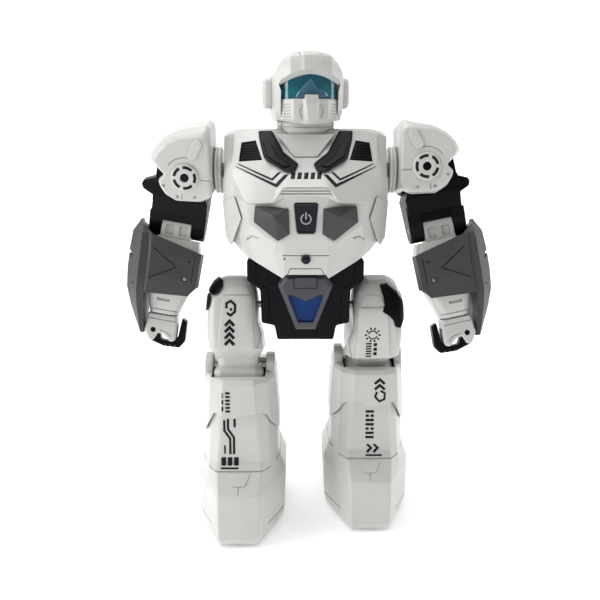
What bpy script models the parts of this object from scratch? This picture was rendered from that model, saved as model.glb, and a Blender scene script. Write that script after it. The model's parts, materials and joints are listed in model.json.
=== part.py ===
"""Walking humanoid toy robot, modelled in its own frame.

+Z is up and the robot faces -Y. Its own left side is +X. The origin is on the floor,
midway between the feet. Shapes are written in millimetres and stored in metres.
"""

import math

import bmesh
import bpy
from mathutils import Vector
from mathutils.bvhtree import BVHTree

MM = 0.001
GAP = 0.3

# Driving dimensions, in millimetres.
LEG_X = 46.5
KNEE_Z = 115.0
THIGH_LINK = 45.5
STRIDE = 10.0
STRIDE_ANGLE = math.degrees(math.asin(STRIDE / THIGH_LINK))
HIP_Z = KNEE_Z + THIGH_LINK * math.cos(math.radians(STRIDE_ANGLE))
SHOULDER_Z = 255.5
SHOULDER_X = 80.5
ELBOW_DROP = 40.0
NECK_Z = 280.5
HEAD_TURN = 7.5
HIP_AXLE_R = 2.5
KNEE_PIN_R = 2.2
ELBOW_PIN_R = 1.8
SHOULDER_AXLE_R = 5.0
TRUNNION_R = 2.4
DRIVE_WHEEL_R = 11.0
DRIVE_AXLE_Y = 26.0
DRIVE_AXLE_R = 1.5
SHARP_ANGLE = math.radians(35.0)
ROLLER_R = 5.5
ROLLER_Y = -45.0

# How each arm hangs: swing back (+) or forward (-), lift to the side, and elbow bend.
ARM_POSE = {"right": (9.0, 11.0, 17.0), "left": (-9.0, 12.0, 4.0)}
SIDES = {"right": -1, "left": 1}

# Colour, roughness and metallic value of each material.
FINISHES = {
    "white_plastic": ((0.78, 0.78, 0.75), 0.32, 0.0),
    "black_plastic": ((0.012, 0.013, 0.018), 0.38, 0.0),
    "grey_plastic": ((0.115, 0.115, 0.12), 0.5, 0.0),
    "visor_teal": ((0.005, 0.16, 0.2), 0.08, 0.0),
    "blue_lens": ((0.01, 0.06, 0.38), 0.15, 0.0),
    "button_black": ((0.01, 0.012, 0.022), 0.25, 0.0),
    "steel": ((0.6, 0.6, 0.6), 0.3, 1.0),
    "tyre_rubber": ((0.03, 0.03, 0.03), 0.85, 0.0),
    "circuit_green": ((0.02, 0.14, 0.06), 0.5, 0.0),
    "battery_blue": ((0.03, 0.08, 0.3), 0.45, 0.0),
    "gearbox_grey": ((0.35, 0.36, 0.37), 0.55, 0.0),
}


def finish(name):
    """The material of that name, made the first time it is asked for."""
    found = bpy.data.materials.get(name)
    if found:
        return found
    colour, roughness, metallic = FINISHES[name]
    made = bpy.data.materials.new(name)
    made.use_nodes = True
    shader = made.node_tree.nodes["Principled BSDF"]
    shader.inputs["Base Color"].default_value = (*colour, 1.0)
    shader.inputs["Roughness"].default_value = roughness
    shader.inputs["Metallic"].default_value = metallic
    return made


def solid(name, points, faces, material=None, parent=None):
    """A closed mesh object from points in millimetres, its faces turned outwards."""
    work = bmesh.new()
    verts = [work.verts.new(Vector(p) * MM) for p in points]
    for face in faces:
        work.faces.new([verts[i] for i in face])
    work.normal_update()
    bmesh.ops.triangulate(work, faces=work.faces)
    bmesh.ops.recalc_face_normals(work, faces=work.faces)
    if work.calc_volume(signed=True) < 0:
        bmesh.ops.reverse_faces(work, faces=work.faces)
    mesh = bpy.data.meshes.new(name)
    work.to_mesh(mesh)
    work.free()
    if material:
        mesh.materials.append(finish(material))
    made = bpy.data.objects.new(name, mesh)
    bpy.context.scene.collection.objects.link(made)
    made.parent = parent
    return made


def loft(name, rings, material=None, parent=None):
    """A solid skinned over rings of equally many points, capped at both ends."""
    n = len(rings[0])
    points = [p for ring in rings for p in ring]
    faces = [list(range(n)), [len(points) - n + i for i in range(n)]]
    for r in range(len(rings) - 1):
        for i in range(n):
            j = (i + 1) % n
            faces.append([r * n + i, r * n + j, (r + 1) * n + j, (r + 1) * n + i])
    return solid(name, points, faces, material, parent)


def place(axis, a, b, depth):
    """The point at (a, b) on the plane across an axis, that far along it."""
    return {"X": (depth, a, b), "Y": (a, depth, b), "Z": (a, b, depth)}[axis]


def prism(name, outline, axis, low, high, material=None, parent=None):
    """An outline pushed straight along an axis."""
    rings = [[place(axis, a, b, d) for a, b in outline] for d in (low, high)]
    return loft(name, rings, material, parent)


def circle(radius, centre=(0.0, 0.0), sides=20):
    """The corners of a regular polygon standing for a circle."""
    step = 2 * math.pi / sides
    return [
        (centre[0] + radius * math.cos(step * (i + 0.5)), centre[1] + radius * math.sin(step * (i + 0.5)))
        for i in range(sides)
    ]


def rounded(x0, x1, y0, y1, chamfer):
    """A rectangle with its corners cut off, anticlockwise from the lower left."""
    c = chamfer
    return [
        (x0 + c, y0), (x1 - c, y0), (x1, y0 + c), (x1, y1 - c),
        (x1 - c, y1), (x0 + c, y1), (x0, y1 - c), (x0, y0 + c),
    ]


def turned(name, profile, axis, centre, sides=20, material=None, parent=None):
    """A turned piece: (radius, depth) pairs along an axis about a centre, smooth round the axis."""
    rings = [[place(axis, a, b, d) for a, b in circle(r, centre, sides)] for r, d in profile]
    made = loft(name, rings, material, parent)
    made.data.shade_smooth()
    made.data.set_sharp_from_angle(angle=SHARP_ANGLE)
    for face in made.data.polygons:
        face.use_smooth = abs(face.normal["XYZ".index(axis)]) < 0.9
    return made


def shrunk(outline, factor, about=(0.0, 0.0)):
    return [(about[0] + (a - about[0]) * factor, about[1] + (b - about[1]) * factor) for a, b in outline]


def inset(outline, distance):
    """The outline moved inwards by that distance, each side keeping its direction."""
    area = sum(a[0] * b[1] - b[0] * a[1] for a, b in zip(outline, outline[1:] + outline[:1]))
    turn = math.copysign(1.0, area)
    moved = []
    for before, here, after in zip(outline[-1:] + outline[:-1], outline, outline[1:] + outline[:1]):
        normals = []
        for start, end in ((before, here), (here, after)):
            side = Vector((end[0] - start[0], end[1] - start[1])).normalized()
            normals.append(Vector((-side.y, side.x)) * turn)
        middle = (normals[0] + normals[1]).normalized()
        reach = distance / max(0.35, middle.dot(normals[0]))
        moved.append((here[0] + middle.x * reach, here[1] + middle.y * reach))
    return moved


def boolean(target, tool, operation):
    """Cuts the tool from the target, or joins it on. The tool becomes a hidden helper."""
    tool.hide_render = True
    tool.display_type = "WIRE"
    modifier = target.modifiers.new(operation.title(), "BOOLEAN")
    modifier.operation = operation
    modifier.object = tool
    return target


def cut(target, *tools):
    for tool in tools:
        boolean(target, tool, "DIFFERENCE")
    return target


def join(target, *tools):
    for tool in tools:
        boolean(target, tool, "UNION")
    return target


def pivot(name, parent, place_mm, turn_deg=(0.0, 0.0, 0.0)):
    """An empty on a joint's axis. What hangs on it is modelled about that axis."""
    made = bpy.data.objects.new(name, None)
    bpy.context.scene.collection.objects.link(made)
    made.parent = parent
    made.location = Vector(place_mm) * MM
    made.rotation_euler = [math.radians(a) for a in turn_deg]
    made.empty_display_size = 0.01
    return made


def mirrored(points):
    """Both halves of a row given from the middle outwards, from -X to +X."""
    left = [(-x, y, z) for x, y, z in reversed(points)]
    return left[:-1] + list(points)


# ---------------------------------------------------------------- head


FACE_OPENING = [(-20.0, 280.0), (20.0, 280.0), (20.0, 314.5), (12.0, 318.3), (0.0, 319.6), (-12.0, 318.3),
                (-20.0, 314.5)]
EAR_POD_DEPTHS = (24.2, 27.2, 29.2)


def helmet_ring(z, half, front, back, brow=0.0):
    """One level of the helmet, flattened at the front where the brow stands out."""
    crest = 4.5
    return [
        (-crest, front - brow, z), (crest, front - brow, z),
        (half * 0.55, front, z), (half * 0.86, front * 0.68, z), (half, front * 0.2, z),
        (half, back * 0.35, z), (half * 0.8, back * 0.8, z), (half * 0.35, back, z),
        (-half * 0.35, back, z), (-half * 0.8, back * 0.8, z), (-half, back * 0.35, z),
        (-half, front * 0.2, z), (-half * 0.86, front * 0.68, z), (-half * 0.55, front, z),
    ]


def build_head(neck):
    """Helmet, visor, face mask, ear pods and the light board, turning on the neck."""
    levels = [
        (288.6, 21.5, -23.0, 21.5, 0.0), (293.0, 23.2, -25.5, 24.0, 0.0),
        (305.0, 23.8, -28.5, 26.0, 0.6), (318.5, 23.6, -30.5, 26.0, 1.0),
        (324.0, 21.6, -29.0, 24.5, 1.2), (329.5, 18.0, -24.5, 21.0, 1.2),
        (333.4, 14.5, -17.5, 16.5, 0.8), (335.0, 11.5, -12.0, 12.0, 0.0),
    ]
    lift = -NECK_Z
    rings = [[(x, y, z + lift) for x, y, z in helmet_ring(*level)] for level in levels]
    helmet = loft("helmet_shell", rings, "white_plastic", neck)
    hollow = [
        [(x, y, z + lift) for x, y, z in helmet_ring(z, half - 2.6, front + 3.4, back - 2.8)]
        for z, half, front, back, _ in [(280.0, 21.5, -23.0, 21.5, 0), (293.0, 23.2, -25.5, 24.0, 0),
                                        (318.5, 23.6, -29.5, 26.0, 0), (329.0, 17.5, -23.0, 20.0, 0)]
    ]
    face = [(x, z + lift) for x, z in FACE_OPENING]
    cut(
        helmet,
        loft("helmet_hollow", hollow, None, neck),
        prism("helmet_face_opening", face, "Y", -40.0, -9.0, None, neck),
    )
    # The visor is a bowed sheet under the brow.
    outer = [(-19.4, -17.0), (-14.5, -22.8), (-5.0, -26.0), (5.0, -26.0), (14.5, -22.8), (19.4, -17.0)]
    inner = [(17.6, -15.5), (13.4, -20.8), (4.6, -23.8), (-4.6, -23.8), (-13.4, -20.8), (-17.6, -15.5)]
    visor = prism("visor", outer + inner, "Z", 301.7 + lift, 317.0 + lift, "visor_teal", neck)
    arch = [(-21.0, 312.8), (-12.0, 316.6), (0.0, 318.0), (12.0, 316.6), (21.0, 312.8), (21.0, 325.0),
            (-21.0, 325.0)]
    cut(visor, prism("visor_arch", [(x, z + lift) for x, z in arch], "Y", -40.0, 0.0, None, neck))

    def mask_ring(z, out, half):
        front = [(-half, -17.5), (-15.0, -22.0 - out), (-8.0, -24.2 - out), (-3.4, -25.5 - out),
                 (-2.4, -29.0 - out),
                 (2.4, -29.0 - out), (3.4, -25.5 - out), (8.0, -24.2 - out), (15.0, -22.0 - out),
                 (half, -17.5)]
        back = [(17.0, -14.5), (13.0, -18.2), (6.0, -20.6), (-6.0, -20.6), (-13.0, -18.2), (-17.0, -14.5)]
        return [(x, y, z + lift) for x, y in front + back]

    loft("face_mask", [mask_ring(284.8, 0.0, 18.6), mask_ring(288.0, 1.6, 19.5), mask_ring(299.0, 1.6, 19.6),
                       mask_ring(301.3, 0.6, 19.4)], "white_plastic", neck)
    for side, s in SIDES.items():
        base = rounded(-8.5, 8.5, 296.6 + lift, 316.6 + lift, 3.5)
        pod = [base, base, rounded(-6.2, 6.2, 299.0 + lift, 314.2 + lift, 3.0)]
        loft(f"{side}_ear_pod", [[(s * d, a, b) for a, b in ring] for ring, d in zip(pod, EAR_POD_DEPTHS)],
             "white_plastic", neck)
    prism("eye_light_board", rounded(-14.0, 14.0, 303.0 + lift, 315.0 + lift, 1.0), "Y", -17.5, -15.9,
          "circuit_green", neck)
    ring = turned("neck_ring", [(13.6, -6.5), (13.6, 0.0), (19.6, 0.0), (19.6, 7.8)], "Z", (0.0, 0.0), 24,
                  "white_plastic", neck)
    cut(ring, turned("neck_ring_bore", [(10.5, -8.0), (10.5, 9.0)], "Z", (0.0, 0.0), 16, None, neck))


# ---------------------------------------------------------------- torso

# The chest front as rows from the top down, each given from the middle outwards.
CHEST_ROWS = [
    [(0, -13, 281.8), (8, -13, 281.8), (14, -13, 281.8), (22, -13, 281.8), (30, -12, 281.8), (38, -10, 281.8),
     (46, -7, 281.0), (50, -4, 280.4), (51.5, 0, 280.0)],
    [(0, -16.5, 279.8), (8, -16.5, 279.8), (16.5, -16.0, 279.8), (23, -14.8, 281.2), (31, -14, 281.2),
     (39, -13, 280.6), (47.5, -11, 279.2), (53, -8, 277.6), (54.5, 0, 277)],
    [(0, -29, 266), (7.5, -29, 266), (13.5, -28.4, 268), (20, -27.5, 270), (30, -26.5, 270.5),
     (38, -24.6, 270.5),
     (46, -21.5, 269.5), (53.6, -13, 267), (55, 0, 267)],
    [(0, -36.5, 259.5), (7.5, -36.5, 259.5), (13.0, -36.8, 260), (20, -36, 261.5), (29, -34.4, 263),
     (38, -31, 263.6),
     (46.4, -26.5, 262.5), (54.6, -17, 257), (55.6, 0, 256)],
    [(0, -47.6, 250), (8.5, -47.6, 250), (13.5, -47.8, 249.8), (19, -47.4, 247.6), (28.5, -42.4, 251.4),
     (38, -37, 255.4), (47, -30, 259.2), (55.0, -18, 253), (55.9, 0, 252)],
    [(0, -50, 247.6), (8.5, -50, 247.6), (14.8, -50, 247.4), (21, -48.6, 238), (30, -46.2, 237.2),
     (39.2, -42.4, 237.4),
     (48.6, -30.6, 254.4), (55.6, -18.4, 248), (56.2, 0, 248)],
    [(0, -47.2, 241.6), (8.5, -47.2, 241.6), (14.2, -46.4, 240.4), (20.6, -42.6, 236.2), (30, -40.4, 235.6),
     (38.4, -37.6, 236.2), (46.8, -29.0, 240), (55.8, -17.4, 236), (56.4, 0, 236)],
    [(0, -45.6, 215.4), (8, -45.6, 215.4), (13.5, -45.4, 213.4), (19, -44.6, 210.6), (28, -41.4, 216.6),
     (37, -38.0, 222.6), (43, -30.5, 224), (53.0, -15.0, 219), (54.0, 0, 218)],
    [(0, -43.6, 203.2), (8, -43.6, 203.2), (15, -43.4, 203.2), (22, -40.8, 204), (31, -36.8, 207.4),
     (39, -32.0, 211.5), (44.0, -26, 213), (50.0, -14, 208), (51, 0, 208)],
    [(0, -41, 189.4), (8, -41, 189.4), (13.6, -41, 189.4), (15.4, -40, 186.8), (24, -35.6, 191.2),
     (33, -30, 195.6),
     (39.6, -24, 198.8), (45, -15, 201.4), (46, 0, 201.6)],
    [(0, -25, 202), (8, -25, 202), (13, -25, 202), (15, -25, 202), (22, -24.5, 202), (30, -23, 202),
     (36, -19, 202),
     (42, -12, 202), (43.5, 0, 202)],
]
BACK_ROWS = [
    [(0, 13, 281.8), (22, 13, 281.8), (38, 10, 281.8), (46, 7, 281.0), (51.5, 0, 280.0)],
    [(0, 19, 279), (23, 18, 280), (39, 15, 279.6), (49, 11, 278), (54.5, 0, 277)],
    [(0, 31, 268), (22, 31, 268), (38, 28, 267), (50, 18, 267), (55, 0, 267)],
    [(0, 37, 250), (25, 37, 250), (41, 32, 250), (53.5, 19, 250), (56.2, 0, 250)],
    [(0, 37, 236), (26, 37, 236), (41, 32, 236), (53.5, 18, 236), (56.4, 0, 236)],
    [(0, 36.4, 214), (25, 36.4, 214), (39, 31, 214), (50, 15, 216), (54, 0, 218)],
    [(0, 33, 200), (22, 33, 200), (34, 28, 200), (43, 15, 201), (46, 0, 201.6)],
    [(0, 24, 202), (21, 23.5, 202), (32, 20, 202), (40, 12, 202), (43.5, 0, 202)],
]
WALL = 4.0


def torso_half(name, rows, sign, material):
    """One half of the torso casing: a closed skin over the rows, hollowed from the parting plane."""
    seam = sign * GAP / 2
    outer = [mirrored([(x, y if abs(y) > 0.2 else seam, z) for x, y, z in row]) for row in rows]
    shell = loft(name, outer, material)
    hollow_rows = []
    for row in rows[1:-1]:
        inner = []
        for x, y, z in row:
            fit = (max(abs(p[0]) for p in row) - WALL + 0.4) / max(abs(p[0]) for p in row)
            depth = y - sign * WALL if abs(y) > 0.2 else -sign * 1.0
            inner.append((x * fit, depth, z))
        hollow_rows.append(mirrored(inner))
    top = [(x, y, 277.0) for x, y, z in hollow_rows[0]]
    low = [(x * 0.96, y * 0.9 if abs(y) > 2 else y, 205.0) for x, y, z in hollow_rows[-2]]
    rings = [top] + hollow_rows[1:-2] + [low]
    cut(shell, loft(f"{name}_hollow", rings))
    return shell


def surface_finder(shell):
    """A function giving the depth where a line along Y first meets the shell from the front or back."""
    graph = bpy.context.evaluated_depsgraph_get()
    tree = BVHTree.FromObject(shell, graph)

    def depth(x, z, sign=-1):
        hit = tree.ray_cast(Vector((x, sign * 200.0, z)) * MM, Vector((0, -sign, 0)))[0]
        return hit.y / MM if hit else sign * 30.0

    return depth


def inlay(name, outline, depth, rise, slope, material, sink=1.2, sign=-1):
    """A piece set into the casing: its edge follows the surface and its face stands proud of it.
    It returns the piece and the cutter of the pocket it lies in."""
    level = [depth(a, b) for a, b in outline]
    skin = [(a, y - sign * sink, b) for (a, b), y in zip(outline, level)]
    edge = [(a, y + sign * (rise * 0.45), b) for (a, b), y in zip(outline, level)]
    face = [(a, y + sign * rise, b) for (a, b), y in zip(inset(outline, slope), level)]
    piece = loft(name, [skin, edge, face], material)
    wide = inset(outline, -GAP)
    pocket = [[(a, y + sign * off, b) for (a, b), y in zip(wide, level)] for off in (-sink - 3 * GAP, 12.0)]
    return piece, loft(f"{name}_pocket", pocket)


def flipped(outline):
    return [(-a, b) for a, b in reversed(outline)]


COLLAR = [(31.2, 279.4), (30.4, 275.4), (27.2, 265.5), (24.6, 262.9), (12.4, 256.4), (7.2, 256.8),
          (4.8, 261.4),
          (14.4, 268.6), (16.6, 272.5), (22.4, 278.6)]
CHEST_PANEL = [(33.0, 234.6), (24.6, 234.6), (20.4, 233.4), (11.4, 233.4), (10.6, 217.4), (18.2, 212.6),
               (34.0, 224.4)]
BUTTON = [(-8.0, 236.6), (-6.8, 237.8), (6.8, 237.8), (8.0, 236.6), (6.2, 218.8), (5.0, 217.4), (-5.0, 217.4),
          (-6.2, 218.8)]
BELT = [(-13.3, 187.6), (13.3, 187.6), (18.8, 180.0), (6.9, 148.9), (-6.9, 148.9), (-18.8, 180.0)]
BELT_LIGHT = [(-9.7, 175.9), (-4.0, 173.4), (0, 171.0), (4.0, 173.4), (9.7, 175.9), (12.5, 172.0),
              (4.9, 154.0),
              (-4.9, 154.0), (-12.5, 172.0)]
PELVIS = [(-33.0, 201.4), (-40.4, 195.4), (-40.4, 181.2), (-31.4, 174.8), (-30.8, 151.0), (-21.6, 149.0),
          (-19.8, 138.8), (19.8, 138.8), (21.6, 149.0), (30.8, 151.0), (31.4, 174.8), (40.4, 181.2),
          (40.4, 195.4),
          (33.0, 201.4)]
BATTERY_DOOR = rounded(-21.0, 21.0, 212.0, 247.0, 3.0)


def build_torso():
    """The casing halves with their trims, controls and internals, and the pelvis below."""
    front = torso_half("chest_front_shell", CHEST_ROWS, -1, "white_plastic")
    back = torso_half("chest_back_shell", BACK_ROWS, 1, "white_plastic")
    for side, s in SIDES.items():
        wing = [(42.6, -33.4, 226), (51.0, -22.0, 205.6), (55.0, -16, 211), (56.4, -16.6, 236),
                (47.2, -30.6, 240)]
        root = [(38, -0.15, 222), (50, -0.15, 206), (56.0, -0.15, 211.5), (56.5, -0.15, 236),
                (44, -0.15, 240)]
        rings = [[(s * x, y, z) for x, y, z in ring] for ring in (wing, root)]
        join(front, loft(f"{side}_wing", rings))
        tail = [(44, 0.15, 240), (56.5, 0.15, 236), (56.0, 0.15, 211.5), (50, 0.15, 206), (38, 0.15, 222)]
        rear = [(44, 16, 238), (54.5, 15, 235), (54.0, 15, 214), (50, 16, 209), (38, 16, 222)]
        rings = [[(s * x, y, z) for x, y, z in ring] for ring in (tail, rear)]
        join(back, loft(f"{side}_wing_rear", rings))
    hollows = []
    for side, s in SIDES.items():
        space = [(36, -18, 238), (36, -18, 216), (50.5, -10, 214), (52.4, -10, 238)]
        rings = [[(s * x, y0 if y0 else y, z) for x, y, z in space] for y0 in (0, 12)]
        hollows.append(loft(f"{side}_wing_hollow", rings))
    depth = surface_finder(front)
    neck = turned("neck_hole", [(14.2, 270.0), (14.2, 290.0)], "Z", (0.0, 0.0), 20)
    seat = turned("neck_seat", [(20.2, 280.2), (20.2, 292.0)], "Z", (0.0, 0.0), 24)
    shoulders = turned("shoulder_bore", [(5.7, -70.0), (5.7, 70.0)], "X", (0.0, SHOULDER_Z), 20)
    for half in (front, back):
        cut(half, neck, seat, shoulders, *hollows)
    for side, s in SIDES.items():
        outline = COLLAR if s > 0 else flipped(COLLAR)
        _, pocket = inlay(f"{side}_collar_trim", outline, depth, 3.4, 1.3, "black_plastic", 1.6)
        cut(front, pocket)
        outline = CHEST_PANEL if s > 0 else flipped(CHEST_PANEL)
        _, pocket = inlay(f"{side}_chest_panel", outline, depth, 3.2, 1.6, "grey_plastic")
        cut(front, pocket)
    # The power button slides in a hole right through the casing, in front of the circuit board's switch.
    hole = [[(a, y, b) for a, b in shrunk(BUTTON, 1.06, (0.0, 227.6))] for y in (-60.0, -35.0)]
    cut(front, loft("button_hole", hole))
    button = [
        [(a, -47.6, b) for a, b in shrunk(BUTTON, 0.86, (0.0, 227.6))],
        [(a, -46.8, b) for a, b in BUTTON], [(a, -38.5, b) for a, b in BUTTON],
    ]
    loft("power_button", button, "button_black")
    turned("infrared_window", [(2.5, -45.4), (2.9, -44.8), (2.9, -41.0)], "Y", (0.0, 200.2), 16,
           "black_plastic")
    cut(front, turned("infrared_hole", [(3.2, -60.0), (3.2, -35.0)], "Y", (0.0, 200.2), 16))

    # Back: battery door in a recess, speaker slots and the slide switch.
    door_hole = [(-16.0, 216.0), (16.0, 216.0), (16.0, 243.5), (-16.0, 243.5)]
    cut(back, prism("battery_bay", door_hole, "Y", 20.0, 60.0),
        prism("battery_door_seat", shrunk(BATTERY_DOOR, 1.02, (0.0, 229.5)), "Y", 35.0, 60.0))
    prism("battery_door", BATTERY_DOOR, "Y", 35.3, 37.6, "white_plastic")
    for i in range(5):
        z = 252.0 + 3.2 * i
        cut(back, prism(f"speaker_slot_{i}", rounded(-12.0, 12.0, z, z + 1.4, 0.4), "Y", 20.0, 60.0))
    cut(back, prism("switch_slot", [(-7.0, 205.2), (7.0, 205.2), (7.0, 208.8), (-7.0, 208.8)], "Y", 20.0,
                    60.0))
    prism("power_switch", [(-5.4, 205.7), (-1.0, 205.7), (-1.0, 208.3), (-5.4, 208.3)], "Y", 27.2, 37.4,
          "black_plastic")
    prism("circuit_board", rounded(-30.0, 30.0, 212.6, 246.0, 2.0), "Y", -31.0, -29.4, "circuit_green")
    prism("battery_pack", rounded(-15.4, 15.4, 216.5, 243.0, 4.0), "Y", 8.0, 27.5, "battery_blue")
    turned("speaker", [(10.5, 23.6), (10.5, 21.0), (7.0, 18.0), (7.0, 12.0)], "Y", (0.0, 258.6), 20,
           "black_plastic")

    # The pelvis is a cup that the casing closes from above, carrying the hip axle.
    pelvis = prism("pelvis_shell", PELVIS, "Y", -22.0, 22.0, "black_plastic")
    half_cup = [(17.0, 142.0), (19.0, 152.0), (27.6, 154.0), (28.0, 176.5), (37.0, 184.0), (37.0, 194.4),
                (31.0, 199.4), (31.0, 215.0)]
    cup = half_cup + flipped(half_cup)
    belt_wide = shrunk(BELT, 1.025, (0.0, 171.0))
    cut(pelvis, prism("pelvis_hollow", cup, "Y", -19.0, 19.0),
        turned("hip_bore", [(HIP_AXLE_R + 0.35, -45.0), (HIP_AXLE_R + 0.35, 45.0)], "X", (0.0, HIP_Z), 16),
        prism("belt_seat", [(a, b + (3.0 if b > 185 else 0.0)) for a, b in belt_wide], "Y", -40.0, -20.6))
    belt = [
        [(a, -20.9, b) for a, b in BELT], [(a, -30.5, b) for a, b in BELT],
        [(a, -33.5, b) for a, b in shrunk(BELT, 0.9, (0.0, 171.0))],
    ]
    plate = loft("belt_plate", belt, "grey_plastic")
    cut(plate, prism("belt_light_seat", shrunk(BELT_LIGHT, 1.05, (0.0, 167.0)), "Y", -45.0, -31.8))
    prism("belt_light_panel", BELT_LIGHT, "Y", -33.2, -32.1, "blue_lens")
    turned("hip_axle", [(HIP_AXLE_R, -62.0), (HIP_AXLE_R, 62.0)], "X", (0.0, HIP_Z), 16, "steel")


# ---------------------------------------------------------------- arms

# Shoulder pad seen from the front, (outwards, up) from the lift axis, with the notch for the arm's fin.
PAD = [(-18.0, -12.0), (-18.0, 30.0), (-15.0, 33.0), (-10.5, 31.8), (4.5, 29.2), (14.0, 25.0), (21.0, 18.6),
       (24.0, 12.0), (21.5, 8.2), (14.4, 1.6), (19.2, -2.2), (18.3, -6.2), (14.6, -12.6), (7.2, -17.4),
       (-10.0, -18.2),
       (-16.6, -15.0)]
PAD_SPACE = [(-14.8, -40.0), (-14.8, 20.6), (-12.0, 27.4), (3.6, 25.2), (12.2, 21.2), (18.0, 15.6),
             (20.6, 11.0),
             (21.4, 7.6), (45.0, 3.0), (45.0, -40.0)]
TURRET = [(-13.2, -11.0), (-13.6, 3.0), (-10.0, 9.6), (-4.0, 13.4), (4.0, 13.8), (11.0, 12.6), (17.4, 10.2),
          (20.0, 3.4), (20.2, -7.6), (30.0, -12.0), (31.0, -14.6), (29.6, -17.6), (20.6, -21.4),
          (20.0, -29.6),
          (-16.6, -29.6), (-17.0, -18.8)]


def arm_loft(name, side, rings, material, parent):
    """A loft given in arm coordinates (outwards, Y, up), put on that side."""
    s = SIDES[side]
    return loft(name, [[(s * u, v, w) for u, v, w in ring] for ring in rings], material, parent)


def arm_prism(name, side, outline, low, high, material, parent):
    return arm_loft(name, side, [[(u, v, w) for u, w in outline] for v in (low, high)], material, parent)


def build_shoulder(side, swing):
    """Flange and the two pad shells, which swing together."""
    s = SIDES[side]
    inner = SHOULDER_X - 46.0
    profile = [(SHOULDER_AXLE_R, -inner), (SHOULDER_AXLE_R, 57.2 - SHOULDER_X), (15.6, 57.2 - SHOULDER_X),
               (16.0, 58.2 - SHOULDER_X), (16.0, 61.0 - SHOULDER_X), (14.6, 62.2 - SHOULDER_X)]
    turned(f"{side}_shoulder_flange", [(r, s * d) for r, d in profile], "X", (0.0, 0.0), 20, "white_plastic",
           swing)
    for half, sign in (("front", -1), ("back", 1)):
        levels = [(1.0, 0.15), (0.985, 14.0), (0.95, 20.5), (0.86, 23.6)]
        rings = [[(u, sign * v, w) for u, w in shrunk(PAD, k, (-2.0, 2.0))] for k, v in levels]
        pad = arm_loft(f"{side}_pad_{half}_shell", side, rings, "white_plastic", swing)
        hub = [(12.6, 22.0), (12.6, 24.2), (11.6, 25.0)]
        join(pad, turned(f"{side}_{half}_hub", [(r, sign * d) for r, d in hub], "Y", (0.0, 0.0), 20, None,
                         swing))
        low, high = sorted((sign * 10.0, sign * 40.0))
        space = arm_prism(f"{side}_pad_{half}_space", side, PAD_SPACE, -16.6, 16.6, None, swing)
        hole = arm_prism(f"{side}_pad_{half}_hole", side, circle(TRUNNION_R + 0.4, (0, 0), 16), low, high,
                         None, swing)
        cut(pad, space, hole)


def build_upper_arm(side, lift):
    """The black upper arm: turret with its fin, two trunnions and the elbow fork."""
    body = arm_prism(f"{side}_upper_arm", side, TURRET, -15.4, 15.4, "black_plastic", lift)
    trunnion = prism(f"{side}_trunnion", circle(TRUNNION_R, (0, 0), 16), "Y", -24.4, 24.4, None, lift)
    ears = []
    for label, low, high in (("inner", -17.2, -8.0), ("outer", 13.6, 22.0)):
        ear = [(-11.4, -24.0), (11.4, -24.0), (9.6, -38.0), (7.6, -45.6), (3.4, -49.0), (-3.4, -49.0),
               (-7.6, -45.6),
               (-9.6, -38.0)]
        rings = [[(u, v, w) for v, w in ear] for u in (low, high)]
        ears.append(arm_loft(f"{side}_{label}_ear", side, rings, None, lift))
    join(body, trunnion, *ears)
    waist = [(15.0, -19.0), (20.0, -19.0), (20.0, -34.0), (12.4, -34.0)]
    for end in (-1, 1):
        rings = [[(u, end * v, w) for v, w in waist] for u in (-12.0 - 10.0, 34.0)]
        cut(body, arm_loft(f"{side}_arm_waist_{end}", side, rings, None, lift))
    # The fin is narrower than the arm.
    for end in (-1, 1):
        rings = [[(20.8, v, w) for v, w in ((end * 5.5, -30.0), (end * 20.0, -30.0), (end * 20.0, 12.0),
                                            (end * 5.5, 12.0))],
                 [(40.0, v, w) for v, w in ((end * 2.5, -30.0), (end * 20.0, -30.0), (end * 20.0, 12.0),
                                            (end * 2.5, 12.0))]]
        cut(body, arm_loft(f"{side}_fin_flank_{end}", side, rings, None, lift))
    bore = [[(u, v, w) for v, w in circle(ELBOW_PIN_R + 0.35, (0, -ELBOW_DROP), 14)] for u in (-30.0, 40.0)]
    cut(body, arm_loft(f"{side}_elbow_bore", side, bore, None, lift))


def gauntlet_ring(w, reach, edge, front, back, inner):
    """One level of the gauntlet, a C round the outside of the forearm."""
    tip = 0.18 * front
    return [
        (-19.6, -9.0, w), (-18.4, front + 2.4, w), (edge, front, w), (reach, tip, w), (reach, 4.0, w),
        (edge, back, w), (-8.0, back - 1.0, w), (-8.0, back - 3.4, w), (inner - 2.0, back - 3.4, w),
        (inner, 4.0, w),
        (inner, max(-8.0, front + 5.0), w), (inner - 2.4, front + 4.0, w), (-16.6, front + 4.4, w),
        (-17.2, -9.0, w),
    ]


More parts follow.
